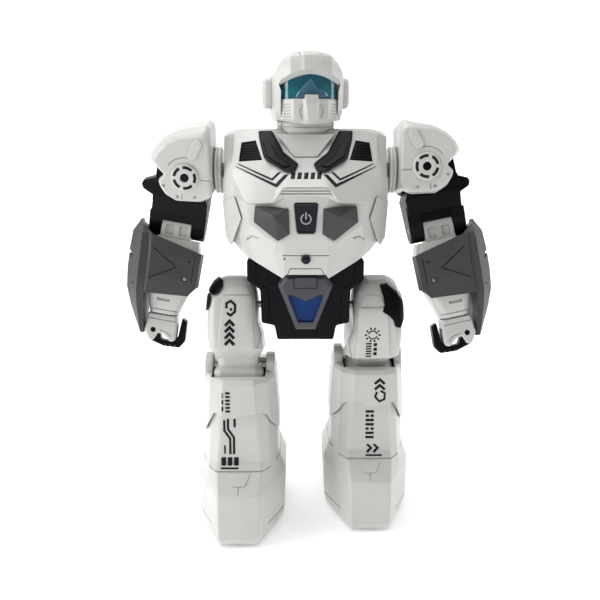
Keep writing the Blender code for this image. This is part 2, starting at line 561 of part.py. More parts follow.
def build_forearm(side, elbow):
    """Forearm with its tongue in the elbow fork, gauntlet, hand and pins. Heights are from the elbow's axis."""
    levels = [(-10.4, -14.6, 15.4, -11.5, 12.0), (-18.0, -16.4, 16.6, -14.8, 14.4),
              (-34.0, -16.4, 16.8, -15.2, 14.6),
              (-48.0, -13.6, 15.8, -13.6, 13.6), (-60.0, -9.6, 13.2, -11.0, 11.4),
              (-64.6, -8.2, 12.2, -9.6, 10.2)]
    rings = [[(u, v, w) for u, v in rounded(u0, u1, v0, v1, 4.0)] for w, u0, u1, v0, v1 in levels]
    shell = arm_loft(f"{side}_forearm_shell", side, rings, "white_plastic", elbow)
    tongue = [(-8.2, -20.0), (8.2, -20.0), (8.8, -3.0), (8.0, 3.6), (4.0, 8.2), (-4.0, 8.2), (-8.0, 3.6),
              (-8.8, -3.0)]
    rings = [[(u, v, w) for v, w in tongue] for u in (-7.4, 13.0)]
    join(shell, arm_loft(f"{side}_tongue", side, rings, None, elbow))
    bore = [[(u, v, w) for v, w in circle(ELBOW_PIN_R + 0.35, (0, 0), 14)] for u in (-30.0, 40.0)]
    cut(shell, arm_loft(f"{side}_tongue_bore", side, bore, None, elbow))
    ends = [(ELBOW_PIN_R, SIDES[side] * u) for u in (-17.0, 21.8)]
    turned(f"{side}_elbow_pin", ends, "X", (0.0, 0.0), 14, "steel", elbow)

    levels = [(-0.6, 28.6, 25.6, -8.0, 6.0, 24.4), (-10.0, 33.0, 20.0, -17.6, 18.4, 24.0),
              (-22.0, 33.2, 14.2, -21.4, 19.2, 18.4), (-37.0, 32.6, 13.0, -21.8, 19.2, 18.0),
              (-50.0, 31.0, 14.0, -20.4, 18.4, 17.4), (-62.0, 26.6, 16.0, -15.4, 15.0, 15.4),
              (-80.6, 17.4, 14.8, -8.6, 8.6, 13.6)]
    rings = [gauntlet_ring(*level) for level in levels]
    guard = arm_loft(f"{side}_gauntlet", side, rings, "grey_plastic", elbow)
    above = [(-40.0, 10.0), (27.4, 10.0), (27.4, -1.6), (17.0, -8.6), (-16.2, -17.0), (-40.0, -24.0)]
    below = [(-40.0, -42.0), (-18.6, -42.0), (-13.6, -48.4), (16.9, -50.6), (12.6, -90.0), (-40.0, -90.0)]
    cut(guard, arm_prism(f"{side}_above_guard", side, above, -40.0, 40.0, None, elbow),
        arm_prism(f"{side}_below_guard", side, below, -40.0, 40.0, None, elbow))

    # The hand: a palm that splits into finger plates either side of the claw.
    palm = [(-8.0, -65.0), (12.2, -65.0), (13.6, -78.0), (8.8, -85.4), (5.6, -84.4), (3.4, -79.0),
            (-0.8, -79.4),
            (-6.4, -84.2), (-9.6, -82.6), (-9.4, -76.0)]
    levels = [(-9.4, 0.93), (-7.6, 1.0), (7.6, 1.0), (9.4, 0.93)]
    rings = [[(u, v, w) for u, w in shrunk(palm, k, (1.0, -74.0))] for v, k in levels]
    hand = arm_loft(f"{side}_hand", side, rings, "white_plastic", elbow)
    slot = [(-20.0, -71.5), (12.0, -71.5), (20.0, -76.0), (20.0, -95.0), (-20.0, -95.0)]
    bore = circle(1.9, (7.0, -77.0), 12)
    cut(hand, arm_prism(f"{side}_claw_slot", side, slot, -4.9, 4.9, None, elbow),
        arm_prism(f"{side}_claw_bore", side, bore, -20.0, 20.0, None, elbow))


def build_claw(side, claw):
    """The black claw, hooked round under the fingers, on its own cross pin."""
    outline = [(-3.6, 3.2), (3.2, 3.6), (4.6, -2.0), (2.8, -9.0), (-9.0, -11.6), (-20.0, -11.0),
               (-23.2, -6.0),
               (-22.4, 8.6), (-18.6, 10.4), (-17.8, -3.4), (-14.4, -7.6), (-6.2, -7.2), (-4.4, -3.0)]
    body = arm_prism(f"{side}_claw", side, outline, -4.5, 4.5, "black_plastic", claw)
    join(body, arm_prism(f"{side}_claw_pin", side, circle(1.5, (0, 0), 12), -8.8, 8.8, None, claw))


def build_arm(side):
    s = SIDES[side]
    swing_angle, lift_angle, bend_angle = ARM_POSE[side]
    swing = pivot(f"{side}_shoulder_swing", None, (s * SHOULDER_X, 0, SHOULDER_Z), (swing_angle, 0, 0))
    lift = pivot(f"{side}_shoulder_lift", swing, (0, 0, 0), (0, -s * lift_angle, 0))
    elbow = pivot(f"{side}_elbow_bend", lift, (0, 0, -ELBOW_DROP), (-bend_angle, 0, 0))
    claw = pivot(f"{side}_claw_grip", elbow, (s * 7.0, 0, -77.0))
    build_shoulder(side, swing)
    build_upper_arm(side, lift)
    build_forearm(side, elbow)
    build_claw(side, claw)


# ---------------------------------------------------------------- legs


def build_thigh(side, hip):
    """Thigh shell and its hip cap, hung on the hip axle. Heights are from that axle."""
    s = SIDES[side]
    levels = [(20.4, -3.5, 13.0, -4.0, 5.0), (17.2, -7.0, 16.4, -9.5, 10.5), (12.0, -12.6, 19.0, -14.6, 15.0),
              (4.0, -13.4, 20.6, -19.6, 19.0), (-11.0, -13.8, 20.8, -22.8, 20.4),
              (-20.0, -17.0, 20.2, -23.8, 19.8),
              (-30.6, -17.6, 19.4, -24.6, 18.6), (-34.0, -16.8, 18.8, -21.4, 18.0),
              (-48.0, -16.6, 18.6, -16.0, 15.6),
              (-58.0, -15.4, 17.4, -9.0, 8.6), (-61.6, -14.0, 16.0, -4.0, 4.0)]
    rings = []
    for w, u0, u1, v0, v1 in levels:
        ring = rounded(u0, u1, v0, v1, min(5.2, (v1 - v0) * 0.3))
        rings.append([(s * u, v, w) for u, v in ring])
    thigh = loft(f"{side}_thigh_shell", rings, "white_plastic", hip)
    hollow = []
    for w, u0, u1, v0, v1 in levels[1:-1]:
        ring = rounded(u0 + 2.6, u1 - 2.6, v0 + 2.6, v1 - 2.6, min(4.0, (v1 - v0) * 0.2))
        hollow.append([(s * u, v, w) for u, v in ring])
    slot = prism(f"{side}_thigh_slot", rounded(-6.0, 6.0, -75.0, -20.0, 1.0), "X", -10.0, 10.0, None, hip)
    hollow[0] = [(x, y, 16.6) for x, y, z in hollow[0]]
    bores = [
        prism(f"{side}_hip_hub", circle(HIP_AXLE_R + 0.35, (0, 0), 16), "X", -30.0, 30.0, None, hip),
        prism(f"{side}_knee_hub", circle(KNEE_PIN_R + 0.35, (0, -THIGH_LINK), 16), "X", -30.0, 30.0, None,
              hip),
    ]
    cut(thigh, loft(f"{side}_thigh_hollow", hollow, None, hip), slot, *bores)
    cap = [(16.0, -11.0), (19.0, -3.0), (17.0, 7.0), (10.0, 14.6), (1.0, 17.4), (-5.0, 14.0), (-7.0, 6.0),
           (-2.0, -2.0),
           (3.0, -12.0), (9.0, -15.0)]
    rings = [[(s * x, -y, z) for y, z in shrunk(cap, k, (6.0, 0.0))] for k,
             x in ((1.0, 21.1), (1.0, 22.4), (0.84, 23.6))]
    loft(f"{side}_hip_cap", rings, "black_plastic", hip)


# Boot levels: height, front depth and half width, shoulder depth and half width, widest depth and half
# width, where the heel starts to taper, heel half width and depth.
BOOT_LEVELS = [
    (2.0, -52.0, 12.6, -38.0, 19.0, -12.0, 30.0, 36.0, 24.0, 53.0),
    (7.0, -53.8, 14.0, -38.0, 21.0, -12.0, 31.2, 36.0, 25.0, 54.0),
    (22.0, -53.0, 14.4, -36.0, 22.4, -10.0, 31.8, 36.0, 26.0, 54.0),
    (38.4, -50.8, 14.4, -33.0, 23.2, -8.0, 32.4, 34.0, 25.0, 52.0),
    (43.0, -45.6, 15.2, -31.0, 23.0, -6.0, 30.4, 32.0, 24.0, 49.0),
    (53.4, -36.0, 16.2, -28.0, 21.8, -8.0, 27.2, 28.0, 22.0, 42.0),
    (55.0, -33.8, 15.4, -26.6, 21.6, -8.0, 26.8, 27.0, 21.6, 41.0),
    (76.0, -31.6, 13.6, -25.2, 20.6, -8.0, 26.4, 25.0, 20.4, 37.0),
    (91.6, -30.0, 12.4, -24.0, 20.0, -8.0, 26.0, 23.0, 19.4, 34.0),
    (93.6, -32.6, 11.8, -25.6, 20.6, -8.0, 26.0, 23.0, 19.4, 34.0),
    (112.0, -31.4, 10.6, -24.8, 20.0, -8.0, 25.0, 22.0, 18.4, 32.0),
    (115.0, -28.6, 10.2, -23.0, 19.2, -8.0, 24.4, 21.0, 17.8, 30.0),
]


def boot_half_ring(level, inset=0.0, seam=GAP / 2):
    """Half of one boot level, from the seam at the toe round to the seam at the heel."""
    z, front, half_front, mid, half_mid, wide, half_wide, taper, half_back, back = level
    return [
        (seam, front + inset, z), (half_front - inset * 0.7, front + inset, z),
        (half_mid - inset, mid + inset * 0.6, z),
        (half_wide - inset, wide, z), (half_wide - inset, taper, z),
        (half_back - inset * 0.7, back - inset, z),
        (seam, back - inset, z),
    ]


def build_boot(side, knee):
    """The two boot shells, with the knee fork on top and open below for the running gear.
    The knee's empty is on the knee axis, and heights here are from the floor."""
    s = SIDES[side]

    def fitted(ring, turn):
        return [(turn * x, y, z - KNEE_Z) for x, y, z in ring]

    for half, turn in (("outer", s), ("inner", -s)):
        name = f"{side}_boot_{half}_shell"
        shell = loft(name, [fitted(boot_half_ring(level), turn) for level in BOOT_LEVELS], "white_plastic",
                     knee)
        ear_low, ear_high = (19.7, 24.6) if half == "outer" else (18.3, 24.6)
        ear = [(-10.5, 100.0), (10.5, 100.0), (11.4, 113.0), (9.0, 121.5), (4.0, 125.4), (-4.0, 125.4),
               (-9.0, 121.5),
               (-11.4, 113.0)]
        rings = [fitted([(x, y, z) for y, z in ear], turn) for x in (ear_low, ear_high)]
        join(shell, loft(f"{name}_ear", rings, None, knee))
        lower = [boot_half_ring(level, 2.8, -1.0) for level in BOOT_LEVELS[1:8]]
        lower[0] = [(x, y, -2.0) for x, y, z in lower[0]]
        lower[-1] = [(x, y, 78.0) for x, y, z in lower[-1]]
        well_side = 19.7 if half == "outer" else 18.3
        top_well = [(-1.0, -21.0), (well_side, -21.0), (well_side, 22.0), (-1.0, 22.0)]
        well = [[(turn * x, y, z - KNEE_Z) for x, y in top_well] for z in (88.0, 140.0)]
        pin_hole = [fitted([(x, y, z) for y, z in circle(KNEE_PIN_R + 0.35, (0, KNEE_Z), 16)], turn)
                    for x in (-2.0, 22.6)]
        cut(shell, loft(f"{name}_hollow", [fitted(ring, turn) for ring in lower], None, knee),
            loft(f"{name}_well", well, None, knee), loft(f"{name}_pin_hole", pin_hole, None, knee))
    turned(f"{side}_knee_pin", [(KNEE_PIN_R, -22.2), (KNEE_PIN_R, 22.2)], "X", (0.0, 0.0), 16, "steel", knee)

    # Running gear: a sealed motor gearbox across the boot, two tyred wheels on its axle and a front roller.
    box = [(-22.0, 16.0), (-22.0, 40.0), (10.0, 44.0), (33.0, 36.0), (33.0, 20.0), (31.0, 6.4), (20.6, 6.4),
           (14.0, 16.0)]
    gearbox = prism(f"{side}_drive_gearbox", [(y, z - KNEE_Z) for y, z in box], "X", -13.0, 13.0,
                    "gearbox_grey", knee)
    fork = [(-48.7, 10.4), (-48.7, 30.0), (-20.0, 30.0), (-20.0, 20.0), (-40.0, 17.0), (-40.4, 10.4)]
    join(gearbox, prism(f"{side}_roller_fork", [(y, z - KNEE_Z) for y, z in fork], "X", -7.6, 7.6, None,
                        knee))
    wheel_space = prism(f"{side}_roller_space", rounded(-53.0, -38.6, -5.0, 14.6, 1.0), "X", -4.8, 4.8, None,
                        knee)
    wheel_space.location = (0.0, 0.0, -KNEE_Z * MM)
    roller_bore = prism(f"{side}_roller_bore", circle(1.55, (ROLLER_Y, ROLLER_R - KNEE_Z), 12), "X", -9.0,
                        9.0, None, knee)
    ears = prism(f"{side}_roller_ears", rounded(-49.0, -41.0, 2.6 - KNEE_Z, 12.0 - KNEE_Z, 2.0), "X", -7.6,
                 7.6, None, knee)
    axle_bore = prism(f"{side}_axle_bore", circle(DRIVE_AXLE_R + 0.35, (DRIVE_AXLE_Y, DRIVE_WHEEL_R - KNEE_Z),
                                                  12),
                      "X", -20.0, 20.0, None, knee)
    join(gearbox, ears)
    cut(gearbox, wheel_space, roller_bore, axle_bore)


def build_running_gear(side, knee):
    """Drive axle with its two wheels, and the front roller, each turning about X."""
    drive = pivot(f"{side}_drive_spin", knee, (0, DRIVE_AXLE_Y, DRIVE_WHEEL_R - KNEE_Z))
    roller = pivot(f"{side}_roller_spin", knee, (0, ROLLER_Y, ROLLER_R - KNEE_Z))
    half = [(DRIVE_AXLE_R, 14.2), (DRIVE_WHEEL_R - 1.0, 14.2), (DRIVE_WHEEL_R, 15.2), (DRIVE_WHEEL_R, 20.4),
            (DRIVE_WHEEL_R - 1.0, 21.4)]
    profile = [(r, -d) for r, d in reversed(half)] + half
    turned(f"{side}_drive_wheels", profile, "X", (0, 0), 24, "tyre_rubber", drive)
    profile = [(1.2, -7.4), (1.2, -4.3), (ROLLER_R - 0.6, -4.3), (ROLLER_R, -3.7), (ROLLER_R, 3.7),
               (ROLLER_R - 0.6, 4.3),
               (1.2, 4.3), (1.2, 7.4)]
    turned(f"{side}_front_roller", profile, "X", (0, 0), 20, "black_plastic", roller)


def build_leg(side):
    """A thigh that swings on the hip axle, and a boot held level below it, at mid stride."""
    s = SIDES[side]
    reach = -STRIDE if side == "right" else STRIDE
    hip = pivot(f"{side}_hip_swing", None, (s * LEG_X, 0, HIP_Z), (math.copysign(STRIDE_ANGLE, reach), 0, 0))
    knee = pivot(f"{side}_knee_bend", None, (s * LEG_X, reach, KNEE_Z))
    build_thigh(side, hip)
    build_boot(side, knee)
    build_running_gear(side, knee)


def main():
    for old in list(bpy.data.objects):
        bpy.data.objects.remove(old)
    build_torso()
    build_head(pivot("head_turn", None, (0, 0, NECK_Z), (0, 0, HEAD_TURN)))
    for side in SIDES:
        build_arm(side)
        build_leg(side)


main()
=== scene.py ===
"""Looks of the walking humanoid robot toy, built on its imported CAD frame.

Every shape is written in millimetres in the place of the body it rides on, and each place is worked
out from the frame's own joints. On an arm, X runs outwards, Y to the back and Z up the limb.
"""

import json
import math

import bmesh
import bpy
from mathutils import Matrix, Vector
from mathutils.bvhtree import BVHTree
from mathutils.geometry import delaunay_2d_cdt, intersect_point_line


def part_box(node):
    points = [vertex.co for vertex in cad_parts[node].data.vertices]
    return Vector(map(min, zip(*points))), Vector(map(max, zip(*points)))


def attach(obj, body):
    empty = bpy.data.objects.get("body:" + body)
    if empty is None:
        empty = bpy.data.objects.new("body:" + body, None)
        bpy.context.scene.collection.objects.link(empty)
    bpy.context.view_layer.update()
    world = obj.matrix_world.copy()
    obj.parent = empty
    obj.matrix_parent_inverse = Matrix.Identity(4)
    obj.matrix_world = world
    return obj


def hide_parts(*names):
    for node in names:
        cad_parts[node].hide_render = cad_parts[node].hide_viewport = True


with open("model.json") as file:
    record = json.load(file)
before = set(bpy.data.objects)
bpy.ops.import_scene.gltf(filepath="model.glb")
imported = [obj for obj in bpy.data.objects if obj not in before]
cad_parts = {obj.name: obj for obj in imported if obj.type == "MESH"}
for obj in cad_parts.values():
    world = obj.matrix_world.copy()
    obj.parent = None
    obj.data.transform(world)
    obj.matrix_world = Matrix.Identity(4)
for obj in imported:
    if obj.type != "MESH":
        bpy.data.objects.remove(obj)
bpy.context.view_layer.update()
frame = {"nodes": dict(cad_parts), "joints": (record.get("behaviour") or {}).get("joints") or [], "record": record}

MM = 0.001
# How far off a line of sight starts, and the least reach of a corner's mitre.
FAR = 700.0
MITRE = 0.4
SHARP = math.radians(40.0)
# Half the width of a screw's cross, and how far ink sinks in the skin and stands above it.
CROSS = 0.22
INK_SINK = 0.3
INK_RISE = 0.14
# Widths and depths of the moulded lines.
FINE_LINE = (0.6, 0.5)
PANEL_LINE = (0.7, 0.6)
DEEP_LINE = (0.8, 0.7)
HAIR_LINE = (0.5, 0.5)
HIP_BORE = 2.9
PIN_BORE = 2.6
SIDES = {"right": -1, "left": 1}
NODES = frame["nodes"]
JOINTS = {joint["name"]: joint for joint in frame["joints"]}


# ---------------------------------------------------------------- places


def placed(origin, x, y):
    """Millimetres in a body's own directions to metres in the robot's frame."""
    x = Vector(x).normalized()
    z = x.cross(Vector(y)).normalized()
    turn = Matrix((x, z.cross(x), z)).transposed().to_4x4()
    return Matrix.Translation(Vector(origin)) @ turn @ Matrix.Scale(MM, 4)


def pin(name):
    return Vector(JOINTS[name]["pos_m"])


def axis(name):
    return Vector(JOINTS[name]["axis"])


def middle(node):
    low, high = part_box(node)
    return (low + high) / 2


def find_places():
    """The place of each body that carries detail."""
    places = {"torso": Matrix.Scale(MM, 4), "button": Matrix.Scale(MM, 4), "switch": Matrix.Scale(MM, 4)}
    neck = pin("head_turn")
    across = middle("left_ear_pod") - middle("right_ear_pod")
    turned = placed(neck, (across.x, across.y, 0.0), (-across.y, across.x, 0.0))
    places["head"] = turned @ Matrix.Translation((0.0, 0.0, -neck.z / MM))
    for side, s in SIDES.items():
        outwards = Matrix.Diagonal((s, 1.0, 1.0, 1.0))
        tilt = axis(f"{side}_shoulder_lift") * -s
        along = axis(f"{side}_elbow_bend") * -1
        grip = axis(f"{side}_claw_grip") * -s
        hip, knee = pin(f"{side}_hip_swing"), pin(f"{side}_knee_bend")
        shaft = hip - knee
        places[f"{side}_shoulder"] = placed(pin(f"{side}_shoulder_swing"), (1, 0, 0), tilt) @ outwards
        places[f"{side}_upper_arm"] = placed(pin(f"{side}_shoulder_lift"), along, tilt) @ outwards
        places[f"{side}_forearm"] = placed(pin(f"{side}_elbow_bend"), along, grip) @ outwards
        places[f"{side}_claw"] = placed(pin(f"{side}_claw_grip"), along, grip) @ outwards
        places[f"{side}_thigh"] = placed(hip, (1, 0, 0), shaft.cross(Vector((1, 0, 0)))) @ outwards
        places[f"{side}_boot"] = placed((knee.x, knee.y, 0.0), (1, 0, 0), (0, 1, 0)) @ outwards
    return places


PLACES = find_places()
KNEE_DROP = {side: (pin(f"{side}_hip_swing") - pin(f"{side}_knee_bend")).length / MM for side in SIDES}


# ---------------------------------------------------------------- outlines


def mirrored(outline):
    """An outline and its mirror image, as one closed outline given from the middle out on +X."""
    return outline + [(-a, b) for a, b in reversed(outline)]


def flipped(outline):
    return [(-a, b) for a, b in reversed(outline)]


def circle(radius, centre=(0.0, 0.0), sides=24):
    step = 2 * math.pi / sides
    return [(centre[0] + radius * math.cos(step * i), centre[1] + radius * math.sin(step * i))
            for i in range(sides)]


def spot_on(centre, radius, angle):
    """The point of a circle at that angle in radians."""
    return (centre[0] + radius * math.cos(angle), centre[1] + radius * math.sin(angle))


def arc_path(radius, start, end, centre=(0.0, 0.0), steps=8):
    """Points along an arc, its angles in degrees anticlockwise from +X."""
    angles = [math.radians(start + (end - start) * i / steps) for i in range(steps + 1)]
    return [spot_on(centre, radius, angle) for angle in angles]


def arc(radius, width, start, end, centre=(0.0, 0.0), steps=8):
    """The outline of a ring's sector."""
    outer = arc_path(radius, start, end, centre, steps)
    return outer + list(reversed(arc_path(radius - width, start, end, centre, steps)))


def rounded(x0, x1, y0, y1, radius, steps=4):
    """A rectangle with round corners."""
    left, right, low, high = x0 + radius, x1 - radius, y0 + radius, y1 - radius
    outline = []
    for centre, start in (((right, low), -90), ((right, high), 0), ((left, high), 90), ((left, low), 180)):
        outline += arc_path(radius, start, start + 90.0, centre, steps)
    return outline


def pill(start, end, width, steps=6):
    """The outline of a bar with round ends."""
    start, end = Vector(start), Vector(end)
    way = math.atan2(end.y - start.y, end.x - start.x)
    outline = []
    for centre, turn in ((end, way - math.pi / 2), (start, way + math.pi / 2)):
        for i in range(steps + 1):
            outline.append(spot_on(centre, width / 2, turn + math.pi * i / steps))
    return outline


def offset(path, distance, closed):
    """The path moved sideways, each leg keeping its direction."""
    moved = []
    count = len(path)
    for i, here in enumerate(path):
        legs = []
        if closed or i > 0:
            legs.append((path[i - 1], here))
        if closed or i < count - 1:
            legs.append((here, path[(i + 1) % count]))
        normals = []
        for start, end in legs:
            leg = Vector((end[0] - start[0], end[1] - start[1])).normalized()
            normals.append(Vector((-leg.y, leg.x)))
        mean = sum(normals, Vector((0.0, 0.0))).normalized()
        reach = distance / max(MITRE, mean.dot(normals[0]))
        moved.append((here[0] + mean.x * reach, here[1] + mean.y * reach))
    return moved


def mixed(first, second, share):
    """An outline that share of the way from the first one to the second."""
    return [(a0 + (a1 - a0) * share, b0 + (b1 - b0) * share) for (a0, b0), (a1, b1) in zip(first, second)]


def inset(outline, distance):
    area = sum(a[0] * b[1] - b[0] * a[1] for a, b in zip(outline, outline[1:] + outline[:1]))
    return offset(outline, math.copysign(distance, area), True)


def band(path, width):
    """The outline of a stroke of that width along an open path."""
    return offset(path, width / 2, False) + list(reversed(offset(path, -width / 2, False)))


def resampled(path, spacing, closed):
    """The path with points added so that no step is longer than the spacing."""
    points = []
    legs = list(zip(path, path[1:] + path[:1])) if closed else list(zip(path, path[1:]))
    for start, end in legs:
        start, end = Vector(start), Vector(end)
        steps = max(1, math.ceil((end - start).length / spacing))
        points += [tuple(start.lerp(end, i / steps)) for i in range(steps)]
    return points if closed else points + [tuple(path[-1])]


def inside(point, outline):
    """Whether a point lies within the outline."""
    x, y = point
    crossed = False
    for (x0, y0), (x1, y1) in zip(outline, outline[1:] + outline[:1]):
        if (y0 > y) != (y1 > y) and x < x0 + (y - y0) / (y1 - y0) * (x1 - x0):
            crossed = not crossed
    return crossed


def filled(outline, spacing):
    """The outline's inside as triangles about one spacing across."""
    rim = resampled(outline, spacing, True)
    low = [min(p[k] for p in rim) for k in (0, 1)]
    high = [max(p[k] for p in rim) for k in (0, 1)]
    points = [Vector(p) for p in rim]
    legs = list(zip(points, points[1:] + points[:1]))
    for i in range(1, int((high[0] - low[0]) / spacing) + 1):
        for j in range(1, int((high[1] - low[1]) / spacing) + 1):
            spot = Vector((low[0] + i * spacing, low[1] + j * spacing))
            if not inside(spot, rim):
                continue
            near = min((spot - a.lerp(b, max(0.0, min(1.0, intersect_point_line(spot, a, b)[1])))).length
                       for a, b in legs)
            if near > spacing * 0.45:
                points.append(spot)
    found = delaunay_2d_cdt(points, [], [list(range(len(rim)))], 1, 1e-4)
    return [tuple(p) for p in found[0]], [list(face) for face in found[2]]


# ---------------------------------------------------------------- meshes


def lofted(rings, caps=True):
    """Points and faces skinned over closed rings of equally many points."""
    n = len(rings[0])
    points = [p for ring in rings for p in ring]
    faces = []
    for r in range(len(rings) - 1):
        for i in range(n):
            j = (i + 1) % n
            faces.append([r * n + i, r * n + j, (r + 1) * n + j, (r + 1) * n + i])
    if caps:
        faces += [list(range(n)), [len(points) - n + i for i in range(n)]]
    return points, faces


def skinned(rows):
    """Points and faces of an open sheet over rows of equally many points."""
    n = len(rows[0])
    points = [p for row in rows for p in row]
    faces = [[r * n + i, r * n + i + 1, (r + 1) * n + i + 1, (r + 1) * n + i]
             for r in range(len(rows) - 1) for i in range(n - 1)]
    return points, faces


def along(view, a, b, depth):
    """The point at (a, b) as seen in that view, at that depth along its line of sight."""
    if view in ("front", "back"):
        return (a, depth, b)
    if view in ("outer", "inner"):
        return (depth, a, b)
    return (a, b, depth)


SIGHT = {"front": 1.0, "back": -1.0, "outer": -1.0, "inner": 1.0, "top": -1.0, "below": 1.0}


def pushed(outline, view, low, high):
    """Points and faces of an outline pushed straight along a view's line of sight."""
    return lofted([[along(view, a, b, depth) for a, b in outline] for depth in (low, high)])


def turned(profile, view, centre=(0.0, 0.0), sides=40):
    """Points and faces of a turned shape, from (radius, depth) pairs along a view's line of sight."""
    return lofted([[along(view, a, b, depth) for a, b in circle(max(radius, 0.01), centre, sides)]
                   for radius, depth in profile])


def hooped(profile, view, centre=(0.0, 0.0), sides=48):
    """A turned ring, its (radius, depth) profile closed on itself."""
    points, faces = turned(profile, view, centre, sides)
    last = len(points) - sides
    closing = [[last + i, last + (i + 1) % sides, (i + 1) % sides, i] for i in range(sides)]
    return points, faces[:-2] + closing


def stepped(outline, steps):
    """Points and faces of an outline inset by each step's first number at the depth of its second."""
    return lofted([[(a, y, b) for a, b in inset(outline, distance)] for distance, y in steps])


def slit(path, width, low, high):
    """A closed shape of even depth along a path facing the front."""
    sides = [offset(path, sign * width / 2, False) for sign in (1, -1)]
    rings = [[(a0, low, b0), (a1, low, b1), (a1, high, b1), (a0, high, b0)]
             for (a0, b0), (a1, b1) in zip(*sides)]
    return lofted(rings)


def merged(*shapes):
    """Several shapes as one."""
    points, faces = [], []
    for shape_points, shape_faces in shapes:
        start = len(points)
        points += shape_points
        faces += [[i + start for i in face] for face in shape_faces]
    return points, faces


def made(name, shape, body, material="white_plastic", closed=True):
    """A mesh object that rides on the body, from points and faces in that body's place."""
    place = PLACES[body]
    work = bmesh.new()
    verts = [work.verts.new(place @ Vector(p)) for p in shape[0]]
    for face in shape[1]:
        work.faces.new([verts[i] for i in face])
    if closed:
        bmesh.ops.recalc_face_normals(work, faces=work.faces)
        if work.calc_volume(signed=True) < 0:
            bmesh.ops.reverse_faces(work, faces=work.faces)
    mesh = bpy.data.meshes.new(name)
    work.to_mesh(mesh)
    work.free()
    mesh.shade_smooth()
    if material:
        mesh.materials.append(MATERIALS[material])
    piece = bpy.data.objects.new(name, mesh)
    bpy.context.scene.collection.objects.link(piece)
    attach(piece, body)
    piece["place"] = body
    return piece


def baked(piece):
    """The piece with its modifiers made real."""
    graph = bpy.context.evaluated_depsgraph_get()
    mesh = bpy.data.meshes.new_from_object(piece.evaluated_get(graph))
    piece.modifiers.clear()
    old = piece.data
    piece.data = mesh
    mesh.name = piece.name
    bpy.data.meshes.remove(old)
    return piece


def eased(piece, width, angle=25.0, segments=3):
    """Rounds the edges sharper than that angle."""
    bevel = piece.modifiers.new("Edges", "BEVEL")
    bevel.width = width * MM
    bevel.segments = segments
    bevel.limit_method = "ANGLE"
    bevel.angle_limit = math.radians(angle)
    bevel.miter_outer = "MITER_ARC"
    return baked(piece)


def thickened(piece, wall):
    """Gives a sheet its wall, inwards."""
    wall_maker = piece.modifiers.new("Wall", "SOLIDIFY")
    wall_maker.thickness = wall * MM
    wall_maker.offset = -1.0
    wall_maker.use_even_offset = True
    return baked(piece)


def carved(piece, shapes, operation="DIFFERENCE"):
    """Cuts closed shapes from the piece, or joins them on."""
    tool = made(f"{piece.name}_tool", merged(*shapes), piece["place"], None)
    cut = piece.modifiers.new("Cut", "BOOLEAN")
    cut.object = tool
    cut.operation = operation
    cut.solver = "EXACT"
    cut.use_self = True
    baked(piece)
    bpy.data.objects.remove(tool)
    return piece


def crisp(piece):
    """Smooth faces between sharp edges, with the flat faces kept flat."""
    piece.data.shade_smooth()
    piece.data.set_sharp_from_angle(angle=SHARP)
    normals = piece.modifiers.new("Normals", "WEIGHTED_NORMAL")
    normals.keep_sharp = True
    return piece


def faced(piece, view):
    """Turns an open sheet's faces towards the eye in that view."""
    way = PLACES[piece["place"]].to_3x3() @ Vector(along(view, 0.0, 0.0, -SIGHT[view]))
    facing = sum(face.normal.dot(way) * face.area for face in piece.data.polygons)
    if facing < 0:
        piece.data.flip_normals()


class Skin:
    """The outside of a piece, for laying detail on it as seen in a view."""

    def __init__(self, piece):
        self.body = piece["place"]
        self.place = PLACES[self.body]
        self.back = self.place.inverted()
        work = bmesh.new()
        work.from_mesh(piece.data)
        # Flat triangles keep their shape when grooves are cut in them later.
        bmesh.ops.triangulate(work, faces=work.faces)
        work.to_mesh(piece.data)
        self.tree = BVHTree.FromBMesh(work)
        work.free()

    def depth(self, view, a, b):
        """How deep the line of sight at (a, b) meets the skin, or None past its edge."""
        start = self.place @ Vector(along(view, a, b, -SIGHT[view] * FAR))
        way = self.place.to_3x3() @ Vector(along(view, 0.0, 0.0, SIGHT[view]))
        hit = self.tree.ray_cast(start, way.normalized())[0]
        if hit is None:
            return None
        local = self.back @ hit
        return {"front": local.y, "back": local.y, "outer": local.x, "inner": local.x}.get(view, local.z)

    def depths(self, view, points):
        """The depths at several points, a miss taking the nearest point that meets the skin."""
        found = [self.depth(view, a, b) for a, b in points]
        hits = [i for i, depth in enumerate(found) if depth is not None]
        for i, depth in enumerate(found):
            if depth is None:
                near = min(hits, key=lambda k: (Vector(points[k]) - Vector(points[i])).length_squared)
                found[i] = found[near]
        return found


def draped(skin, outline, view, low, high, spacing=1.6):
    """A closed plate that follows the skin, from that height above it to that one, minus meaning sunk."""
    points, faces = filled(outline, spacing)
    depths = skin.depths(view, points)
    out = -SIGHT[view]
    n = len(points)
    lower = [along(view, a, b, d + out * low) for (a, b), d in zip(points, depths)]
    upper = [along(view, a, b, d + out * high) for (a, b), d in zip(points, depths)]
    edges = [edge for face in faces for edge in zip(face, face[1:] + face[:1])]
    shared = set(edges)
    walls = [[i, j, j + n, i + n] for i, j in edges if (j, i) not in shared]
    floor = [list(reversed(face)) for face in faces]
    roof = [[i + n for i in face] for face in faces]
    return lower + upper, floor + roof + walls


def trench(skin, path, view, width, depth, spacing=1.6, closed=False, rise=1.2):
    """A closed shape along a path on the skin, for cutting a groove of that width and depth."""
    line = resampled(path, spacing, closed)
    sides = [offset(line, sign * width / 2, closed) for sign in (1, -1)]
    levels = skin.depths(view, line)
    out = -SIGHT[view]
    rings = []
    for (a0, b0), (a1, b1), level in zip(*sides, levels):
        high, low = level + out * rise, level - out * depth
        rings.append([along(view, a0, b0, high), along(view, a1, b1, high), along(view, a1, b1, low),
                      along(view, a0, b0, low)])
    if closed:
        points, faces = lofted(rings + rings[:1], caps=False)
        count = len(rings) * 4
        return points[:count], [[i % count for i in face] for face in faces]
    return lofted(rings)


# ---------------------------------------------------------------- materials


